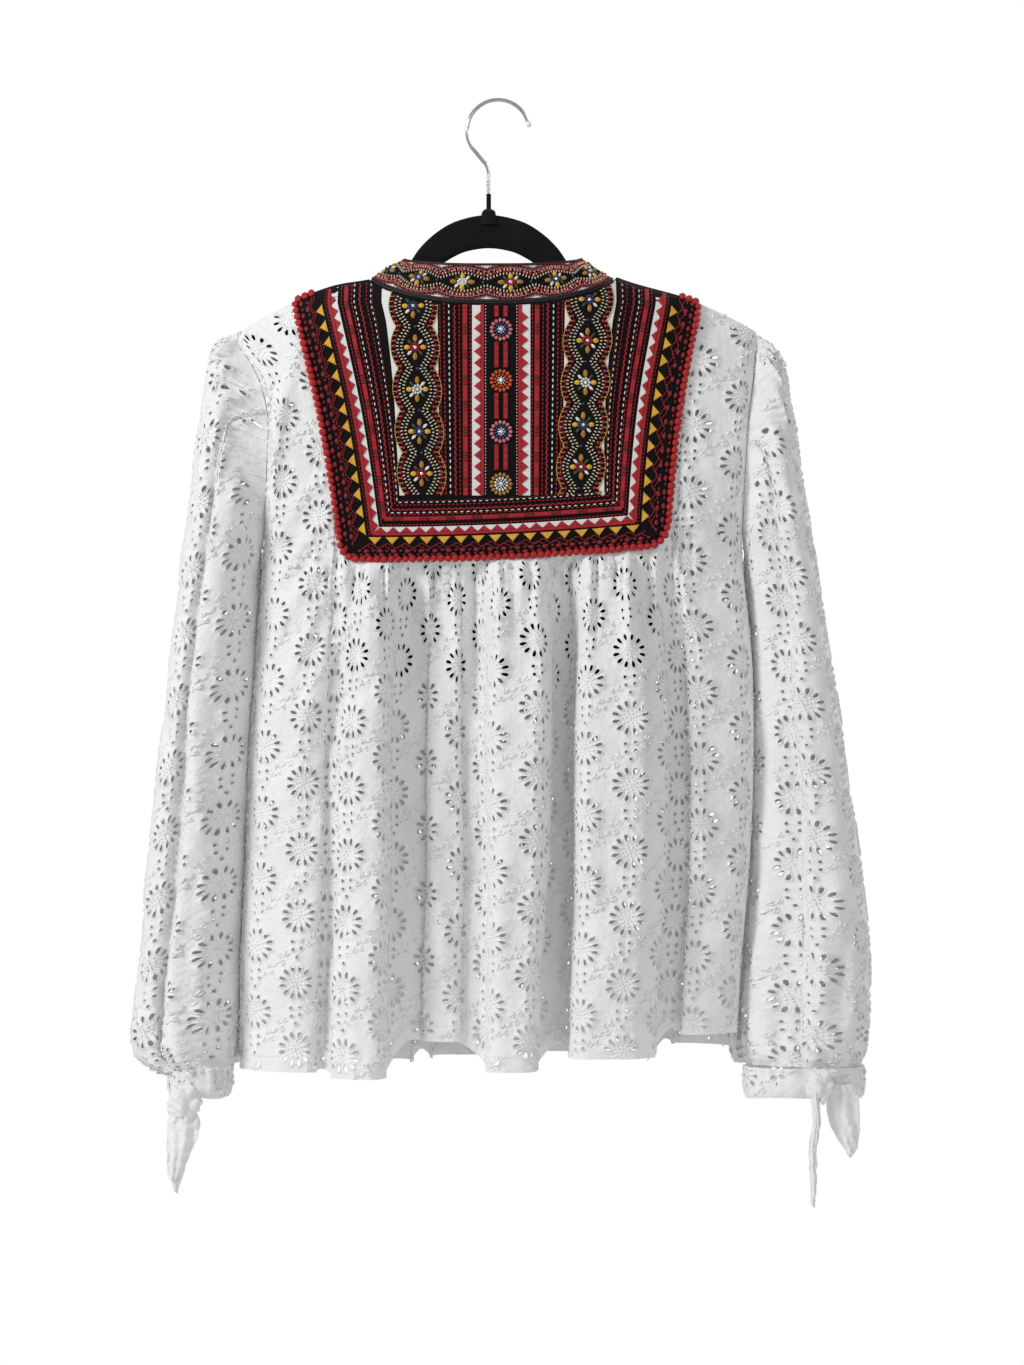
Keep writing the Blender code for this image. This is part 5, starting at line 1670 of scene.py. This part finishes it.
    # inner stripes beside the middle, the same on both sides
    middleX = 0.0026 if side == back else 0.0
    lowZ = yokeBottom[side]["middle"] + 0.0482
    upright = (
        (0.0468, "red", "stitch", 0.003, 0.0027, 0.001, 0.0006, 0.0),
        (0.0438, "red", "stitch", 0.0036, 0.0029, 0.0014, 0.0007, 0.0),
        (0.0402, "white", "stitch", 0.005, 0.0033, 0.0012, 0.0006, 0.0),
        (0.036, "red", "stitch", 0.0023, 0.0037, 0.0016, 0.001, 0.62),
        (0.0325, "red", "stitch", 0.0034, 0.0028, 0.0011, 0.0006, 0.0),
        (0.0281, "red", "block", 0.0031, 0.0031, 0.004, 0.001, 0.0),
        (0.0243, "red", "stitch", 0.0034, 0.0027, 0.0011, 0.0006, 0.0),
    )
    z = np.linspace(zTop, lowZ, 60)
    for sign in (-1, 1):
        for m, colour, shape, pitch, long, wide, tall, lean in upright:
            spreadOut = 1 + 0.3 * (z - lowZ) * (m / 0.0468)
            line = pillar(middleX + sign * m * spreadOut, z)
            needle.run(colour, shape, line, pitch, long, wide, tall, lean=lean)
            if shape == "block":
                x, y, turn = walk(line, 0.02)
                for offset in (-0.0032, -0.0011, 0.0011, 0.0032):
                    rows = pillar(x, y + offset, turn + math.pi / 2, 0.0046, 0.0012, 0.0007, 0.0013)
                    needle.sew("black", "stitch", rows)
        teethLine = pillar(middleX + sign * 0.015, z)
        needle.run("red", "block", teethLine, 0.0031, 0.0032, 0.003, 0.0008)
        x, y, turn = walk(teethLine + [sign * 0.0012, 0], 0.0092)
        out = 0.0 if sign > 0 else math.pi
        rows = pillar(x, y, out - math.pi / 2, 0.009, 0.0056, 0.0009, 0.0004)
        needle.sew("red", "tooth", rows)
        dashes = pillar(middleX + sign * 0.0124, z)
        needle.run("white", "stitch", dashes, 0.0026, 0.0015, 0.0008, 0.0005)
    # middle panel: rosettes and pairs of red bars
    rosettes = {
        back: (
            ("pink", "navy", -0.1872),
            ("orange", "orange", -0.228),
            ("pink", "navy", -0.2688),
            ("gold", "white", -0.3104),
        ),
        front: (("pink", "navy", -0.36),),
    }[side]
    for petals, ring, cz in rosettes:
        for colour, count, first, r, size in (
            (petals, 15, 0, 0.0076, (0.0036, 0.0029, 0.0016, 0.0003)),
            (ring, 12, 0.5, 0.0047, (0.0026, 0.002, 0.0015, 0.0003)),
            ("white", 8, 0, 0.0026, (0.0016, 0.0014, 0.0016, 0.0004)),
        ):
            t = tau * (np.arange(count) + first) / count
            needle.sew(colour, "bead", pillar(middleX + r * np.cos(t), cz + r * np.sin(t), t, *size))
        needle.sew("gem", "bead", [(middleX, cz, 0.3, 0.004, 0.004, 0.0024, 0.0008)])
    breaks = [cz for _, _, cz in rosettes]
    for sign in (-1, 1):
        line = pillar(middleX + sign * 0.0036, np.linspace(zTop, lowZ + 0.003, 120))
        x, y, turn = walk(line, 0.0029)
        clear = np.min([np.abs(y - cz) for cz in breaks], axis=0) > 0.0112
        x, y, turn = x[clear], y[clear], turn[clear]
        needle.sew("red", "block", pillar(x, y, turn, 0.003, 0.0036, 0.001, 0.0002))
        rows = pillar(x, y, turn + 0.9, 0.0044, 0.0007, 0.0005, 0.0011)[::2]
        needle.sew("black", "stitch", rows)
    # grounds: white columns and bands, black scalloped chains
    parts = []
    for sign in (-1, 1):
        z = np.linspace(zTop, lowZ, 90)[:, None]
        outerLine = np.array([borderLine(side, 0.0642, 0.0482, zTop)[0 if sign * flip < 0 else 2]])[0]
        order = np.argsort(outerLine[:, 1])
        outerX = flip * np.interp(z, outerLine[order, 1], outerLine[order, 0])
        if side == back and sign < 0:
            outerX = outerX + 0.0036 * smooth((z + 0.3) / 0.13)
        innerX = middleX + sign * 0.0486 * (1 + 0.3 * (z - lowZ))
        t = np.linspace(0, 1, 17)[None, :]
        left, right = (outerX, innerX) if sign < 0 else (innerX, outerX)
        parts.append(ground(left + (right - left) * t, z, "white"))
        low, high = sorted((middleX + sign * 0.019 - sign * 0.004, middleX + sign * 0.0232))
        parts.append(ground(np.broadcast_to(np.linspace(low, high, 5), (90, 5)), z, "white"))
    lines = [mirrorLines(d, e) for d, e in ((0.0292, 0.0206), (0.0342, 0.0252))]
    for outerLine, innerLine in zip(*lines):
        t = np.linspace(0, 1, 4)[None, :]
        x = innerLine[:, :1] + (outerLine[:, :1] - innerLine[:, :1]) * t
        z = innerLine[:, 1:] + (outerLine[:, 1:] - innerLine[:, 1:]) * t
        parts.append(ground(x[:, ::-1], z[:, ::-1], "white"))
    whiteGround = arrayObject(f"{name}_white_ground", *joinParts(parts))
    dress(whiteGround, finishes["whiteGround"], "embroidery")
    parts = []
    firstZ = {-1: -0.1678, 1: -0.1624} if side == back else {-1: -0.165, 1: -0.165}
    for sign in (-1, 1):
        z = np.linspace(-0.142, lowZ, 170)[:, None]
        centreX = middleX + sign * (chain["middle"] + chain["slope"] * (z + 0.235))
        w = scallop(z - firstZ[sign])
        t = np.linspace(-1, 1, 13)[None, :]
        parts.append(ground(centreX + w * t, z, "chain"))
        for edge in (-1, 1):
            line = pillar((centreX + edge * (w - 0.0002)).ravel(), z.ravel())
            needle.run("yellow", "stitch", line, 0.0024, 0.0025, 0.0009, 0.0006, start=0.0006)

        def lineAt(offset, centreX=centreX, z=z):
            return pillar((centreX + offset).ravel(), z.ravel())

        eyeRows(needle, lineAt, z - firstZ[sign], w, (0.0032, 0.0078), chain["pitch"])
        count = int((firstZ[sign] + 0.012 - lowZ) / chain["pitch"]) + 2
        for k in range(count):
            cz = firstZ[sign] - k * chain["pitch"]
            cx = middleX + sign * (chain["middle"] + chain["slope"] * (cz + 0.235))
            jewel = chainJewels[k % 3]

            def place(a, b, turn, cx=cx, cz=cz):
                return cx + a, cz + b, turn

            medallion(needle, place, jewel, sign * flip < 0, lowest=lowZ + 0.0012)
    if side == front:
        x, z = np.meshgrid(np.linspace(-0.003, 0.003, 3), np.linspace(-0.346, -0.4634, 12))
        parts.append(laidStrip(x, z, lay, 0.0001))
    blackChain = arrayObject(f"{name}_chain_ground", *joinParts(parts))
    dress(blackChain, finishes["blackGround"], "embroidery")
    needle.finish(name, "embroidery")


finishes = {}


def addYokes():
    # the dark colours of the grounds are painted shade between their rows of stitches
    finishes["blackGround"] = groundMaterial("blackGround", (0.006, 0.004, 0.005), (0.002, 0.001, 0.001))
    finishes["whiteGround"] = groundMaterial("whiteGround", (0.8, 0.8, 0.78), (0.66, 0.66, 0.64))
    for name, side, low, high in (
        ("yoke_back", back, -1.0, 1.0),
        ("yoke_front_left", front, -1.0, -yoke["slitHalf"] / yokeRows[front][0]["half"]),
        ("yoke_front_right", front, yoke["slitHalf"] / yokeRows[front][0]["half"], 1.0),
    ):
        grid = yokeGrid(side, low, high)
        obj = gridObject(f"{name}_ground", grid, lambda p, side=side: (0, side, 0), form["yokeWall"])
        dress(obj, finishes["blackGround"], "embroidery", name)
    yokeNeedlework(back, "yokeBack")
    yokeNeedlework(front, "yokeFront")
    print("yokes embroidered")


# ball trim round each yoke
trim = dict(pitch=0.0057, size=0.0058, out=0.0006, lift=0.0006, overTop=0.016)


def addTrims():
    # the ball thread's dark colour is painted shade in its strand gaps, as for every thread
    threads["ball"] = dict(colour=(0.47, 0.003, 0.006), dark=(0.2, 0.001, 0.003))
    for side, name in ((back, "trim_back"), (front, "trim_front")):
        grid = yokeGrid(side)
        top = grid[0]
        first = top[np.abs(top[:, 0] - top[0, 0]) < trim["overTop"]][:0:-1]
        last = top[np.abs(top[:, 0] - top[-1, 0]) < trim["overTop"]][-2::-1]
        line = np.vstack([first, grid[:, 0], grid[-1, 1:-1], grid[::-1, -1], last])[:, [0, 2]]
        x, z, turn = walk(line, trim["pitch"])
        px, pz = x + trim["out"] * np.sin(turn), z - trim["out"] * np.cos(turn)
        rng = np.random.default_rng(5)
        size = trim["size"] * rng.uniform(0.92, 1.08, len(px))
        wob = rng.uniform(-0.0003, 0.0003, len(px))
        flip = 1 if side == back else -1
        turns = rng.uniform(0, 6, len(px))
        places = pillar(flip * px, pz + wob, turns, size, size, size, trim["lift"])
        balls = stampMany("ball", places, lambda a, b, w: yokePlace(side, flip * a, b, w))
        x, z, turn = walk(line[::2], 0.003)
        rows = pillar(flip * x, z, turn * flip, 0.0034, 0.0022, 0.0012, 0)
        cord = stampMany("stitch", rows, lambda a, b, w: yokePlace(side, flip * a, b, w - 0.0006))
        obj = arrayObject(f"{name}_balls", *joinParts([balls, cord]))
        dress(obj, finishOf("ball"), "ball_trim", name)
    print("ball trims made")


# collar: a stand band with its own chain of medallions
collar = dict(columns=260, rows=8, tall=0.03, open=0.03, pitch=0.039, cord=0.0014)
collar.update(lean=dict(back=0.12, side=1.02, front=0.3))


def collarForm():
    turn = np.linspace(math.pi - collar["open"], -math.pi + collar["open"], 4 * collar["columns"])
    for _ in range(2):
        x = -form["neckHalf"] * np.sin(turn)
        side = np.where(np.cos(turn) > 0, back, front)
        z = np.where(side == back, neckZ(back, x), neckZ(front, x))
        path = pillar(x, side * torsoDepth(x, z))
        path[:, 1] *= np.minimum(1.0, np.abs(np.cos(turn)) * 6)
        run = runOf(path)
        turn = np.interp(np.linspace(0, run[-1], collar["columns"]), run, turn)
    side = np.where(np.cos(turn) > 0, back, front)
    x = form["neckCentre"] - (form["neckHalf"] - 0.0004) * np.sin(turn)
    z = np.where(side == back, neckZ(back, x), neckZ(front, x))
    y = side * (torsoDepth(x, z) + form["yokeWall"] / 2) * np.minimum(1.0, np.abs(np.cos(turn)) * 6)
    base = pillar(x, y, z)
    ends = np.where(np.cos(turn) > 0, collar["lean"]["back"], collar["lean"]["front"])
    lean = ends + (collar["lean"]["side"] - ends) * np.sin(turn) ** 2
    inward = pillar(np.sin(turn), np.cos(turn) * 0.8, 0 * turn)
    inward /= np.linalg.norm(inward, axis=1, keepdims=True)
    up = inward * np.sin(lean)[:, None]
    up[:, 2] = np.cos(lean)
    start = 2.6 * form["seam"] + form["yokeWall"] / 2 - 0.0008
    share = np.linspace(1, 0, collar["rows"] + 1)
    grid = base[:, None, :] + up[:, None, :] * (start + (collar["tall"] + 0.0008) * share)[None, :, None]
    length = float(np.linalg.norm(np.diff(grid[:, collar["rows"] // 2], axis=0), axis=1).sum())
    return clothForm(grid, length, collar["tall"], 0.0)


def addCollar():
    cloth = collarForm()
    grid = np.transpose(cloth["points"], (1, 0, 2))
    obj = gridObject("collar_band", grid, lambda p: (p.x * 0.3, p.y, 0), form["yokeWall"])
    dress(obj, finishes["blackGround"], "collar_band", "collar")
    half = form["yokeWall"] / 2
    width, tall = cloth["width"], collar["tall"]
    middle = width / 2

    def lay(s, t, w):
        return layOn(cloth, s, t, w + half)

    def allowed(s, t, long):
        return (s > 0.001) & (s < width - 0.001) & (t > 0.0002) & (t < tall - 0.0002)

    needle = Needle(lay, allowed)
    s = np.linspace(0.0, width, 700)
    centreS = middle - 0.0218
    u = s - centreS
    w = 0.0104 + 0.0036 * np.abs(np.cos(math.pi * u / collar["pitch"])) ** 0.8
    t = np.linspace(-1, 1, 9)[:, None]
    gaps = np.broadcast_to(s, (9, 700)), np.broadcast_to(tall / 2 - t * (tall / 2 - 0.0018), (9, 700))
    eyes = np.broadcast_to(s, (9, 700)), tall / 2 - t * w[None, :]
    for label, (x, y), finish, lift in (
        ("gap", gaps, finishes["whiteGround"], 0.0002),
        ("chain", eyes, finishes["blackGround"], 0.0004),
    ):
        points, faces = laidStrip(x, y, lay, lift)
        strip = arrayObject(f"collar_{label}_ground", points, faces)
        dress(strip, finish, "collar_band")

    def lineAt(offset):
        return pillar(s, tall / 2 + offset)

    eyeRows(needle, lineAt, u, w - 0.0022, (0.0024, 0.0048), collar["pitch"], 0.85)
    for edge in (-1, 1):
        for inset, colour, pitch, long, wide, high, lean in (
            (0.0022, "pink", 0.0021, 0.0026, 0.0012, 0.0007, 0.5),
            (0.0006, "red", 0.0022, 0.0023, 0.001, 0.0007, 0.0),
            (-0.0006, "darkRed", 0.0024, 0.0025, 0.0008, 0.0006, 0.0),
        ):
            line = pillar(s, tall / 2 + edge * (w - inset))
            needle.run(colour, "stitch", line, pitch, long, wide, high, start=0.0003, lean=lean)
        piping = pillar(s, np.full(700, tall / 2 + edge * (tall / 2 - 0.0007)))
        needle.run("black", "block", piping, 0.003, 0.0031, 0.002, 0.0011, start=0.0)
    jewels = ("navy", "white", "red", "navy")
    first = -int(centreS / collar["pitch"])
    for k in range(first, first + int(width / collar["pitch"]) + 1):
        cs = centreS + k * collar["pitch"]

        def place(a, b, turn, cs=cs):
            return cs + b, tall / 2 + a, math.pi / 2 - turn

        medallion(needle, place, jewels[(k + 1) % 4], True, reach=(0.72, 1.02))
    seam = cloth["points"][::2, -1] + [0.0, 0.0, -0.0006]
    around = np.linspace(0, tau, 9)[:-1]
    up = cloth["points"][::2, 0] - cloth["points"][::2, -1]
    up /= np.linalg.norm(up, axis=1, keepdims=True)
    out = cloth["normals"][::2, -1]
    radius = collar["cord"]
    c, s = np.cos(around)[None, :, None], np.sin(around)[None, :, None]
    rings = seam[:, None] + radius * (c * up[:, None] + s * out[:, None])
    cord = ringsObject("collar_seam_cord", rings, capped=True)
    dress(cord, finishOf("black"), "collar_band")
    needle.finish("collar", "collar_band")
    print("collar made, flat length", round(width, 3))


hanger = dict(centre=-0.0076, thick=0.0048)
hangerRows = table(
    "x z tall",
    (0.0, -0.1048, 0.0272), (0.02, -0.108, 0.0262), (0.034, -0.1146, 0.0246), (0.047, -0.125, 0.0222),
    (0.06, -0.1412, 0.0202), (0.078, -0.1538, 0.0192), (0.098, -0.1622, 0.018), (0.13, -0.1715, 0.018),
    (0.165, -0.1842, 0.0165), (0.185, -0.192, 0.015), (0.196, -0.197, 0.012),
)
hook = dict(wire=0.0015, radius=0.025, bendZ=-0.0535)
hook.update(tipTurn=math.radians(18), shankTurn=math.radians(214))
boss = dict(radius=0.0058, top=-0.0868, height=0.012, sleeveRadius=0.0019, sleeveTop=-0.0745)


def velvetMaterial():
    material, nodes, links, shader = newMaterial("velvet")
    place = nodes.new("ShaderNodeTexCoord").outputs["Object"]
    nap = texture(nodes, links, "Noise", place, Scale=1500.0)
    brushed = texture(nodes, links, "Noise", place, Scale=45.0)
    paint = mixColour(nodes, links, brushed, (0.003, 0.003, 0.004), (0.012, 0.012, 0.014))
    links.new(paint, shader.inputs["Base Color"])
    setInputs(shader, Roughness=0.95, Specular_IOR_Level=0.15, Sheen_Weight=0.12, Sheen_Roughness=0.35)
    bumpChain(nodes, links, shader, [(nap, 0.6, 0.0003)])
    return material


def chromeMaterial():
    material, nodes, links, shader = newMaterial("chrome")
    drawn = texture(nodes, links, "Noise", Scale=300.0)
    rough = nodes.new("ShaderNodeMapRange")
    setInputs(rough, To_Min=0.1, To_Max=0.24)
    links.new(drawn, rough.inputs["Value"])
    links.new(rough.outputs["Result"], shader.inputs["Roughness"])
    paint = mixColour(nodes, links, drawn, (0.5, 0.52, 0.55), (0.66, 0.67, 0.7))
    links.new(paint, shader.inputs["Base Color"])
    setInputs(shader, Metallic=1.0)
    return material


def plasticTip():
    material, nodes, links, shader = newMaterial("tipDip")
    cloud = texture(nodes, links, "Noise", Scale=400.0)
    paint = mixColour(nodes, links, cloud, (0.72, 0.74, 0.75), (0.84, 0.86, 0.87))
    links.new(paint, shader.inputs["Base Color"])
    setInputs(shader, Roughness=0.3)
    return material


def addHanger():
    velvet, chrome = velvetMaterial(), chromeMaterial()
    rows = [dict(row, x=-row["x"]) for row in hangerRows[:0:-1]] + list(hangerRows)
    table = np.array([(hanger["centre"] + row["x"], row["z"], row["tall"]) for row in rows])
    fine = through(table, np.linspace(0, len(rows) - 1, 150))
    slope = np.gradient(fine[:, :2], axis=0)
    slope /= np.linalg.norm(slope, axis=1, keepdims=True)
    turn = np.linspace(0, tau, 20, endpoint=False)
    rings = []
    for (x, z, tall), (dx, dz) in zip(fine, slope):
        c, s = np.cos(turn), np.sin(turn)
        up = np.sign(c) * np.abs(c) ** 0.55 * tall / 2
        deep = np.sign(s) * np.abs(s) ** 0.75 * hanger["thick"] / 2
        rings.append(pillar(x - dz * up, deep, z + dx * up))
    arm = ringsObject("hanger_arms", rings, capped=True)
    end = arm.modifiers.new("ends", "BEVEL")
    end.width = 0.0008
    end.segments = 2
    end.limit_method = "ANGLE"
    dress(arm, velvet, "velvet", "hanger_body")
    bm = bmesh.new()
    profile = (
        (0.0, boss["sleeveTop"]),
        (boss["sleeveRadius"], boss["sleeveTop"]),
        (boss["sleeveRadius"], boss["top"] - 0.0008),
        (boss["radius"] * 0.5, boss["top"]),
        (boss["radius"] * 0.88, boss["top"] - 0.0016),
        (boss["radius"] * 1.02, boss["top"] - 0.0042),
        (boss["radius"] * 1.05, boss["top"] - 0.0075),
        (boss["radius"] * 1.25, boss["top"] - boss["height"]),
        (0.0, boss["top"] - boss["height"]),
    )
    verts = [bm.verts.new((hanger["centre"] + r, 0.0, z)) for r, z in profile]
    edges = [bm.edges.new(pair) for pair in zip(verts, verts[1:])]
    turned = dict(cent=(hanger["centre"], 0, 0), axis=(0, 0, 1), angle=tau, steps=32, use_merge=True)
    bmesh.ops.spin(bm, geom=verts + edges, **turned)
    bmesh.ops.remove_doubles(bm, verts=bm.verts, dist=1e-6)
    bmesh.ops.recalc_face_normals(bm, faces=bm.faces)
    knob = meshObject("hanger_knob", bm, 35)
    dress(knob, velvet, "velvet")
    middleZ = hook["wire"] - hook["radius"]
    turns = np.linspace(hook["tipTurn"], hook["shankTurn"], 60)
    path = [(hook["radius"] * math.cos(a), middleZ + hook["radius"] * math.sin(a)) for a in turns]
    endX, endZ = path[-1]
    for share in (0.3, 0.6, 0.85):
        path.append((endX + share * (hanger["centre"] - endX), endZ + share * (hook["bendZ"] - endZ)))
    path.append((hanger["centre"], hook["bendZ"] - 0.003))
    path.append((hanger["centre"], hook["bendZ"] - 0.01))
    path.append((hanger["centre"], boss["top"] - 0.005))
    path = through(np.array(path), spreadEvenly(np.array(path), 150)[0])
    slope = np.gradient(path, axis=0)
    slope /= np.linalg.norm(slope, axis=1, keepdims=True)
    turn = np.linspace(0, tau, 16, endpoint=False)
    c, s = hook["wire"] * np.cos(turn), hook["wire"] * np.sin(turn)
    rings = [pillar(x - dz * c, s, z + dx * c) for (x, z), (dx, dz) in zip(path, slope)]
    wire = ringsObject("hanger_wire", rings, capped=True)
    dress(wire, chrome, "chrome", "hanger_hook")
    bm = bmesh.new()
    bmesh.ops.create_uvsphere(bm, u_segments=24, v_segments=16, radius=0.0022)
    low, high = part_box("hanger_tip")
    bmesh.ops.translate(bm, vec=(low + high) / 2, verts=bm.verts)
    tip = meshObject("hanger_tip_ball", bm)
    dress(tip, plasticTip(), "tip", "hanger_tip")
    print("hanger made")


addCamera()
addStage()
cottonCloth = cottonMaterial()
addHanger()
addPanels(cottonCloth)
addSleeves(cottonCloth)
addTies(cottonCloth)
addYokes()
addTrims()
addCollar()
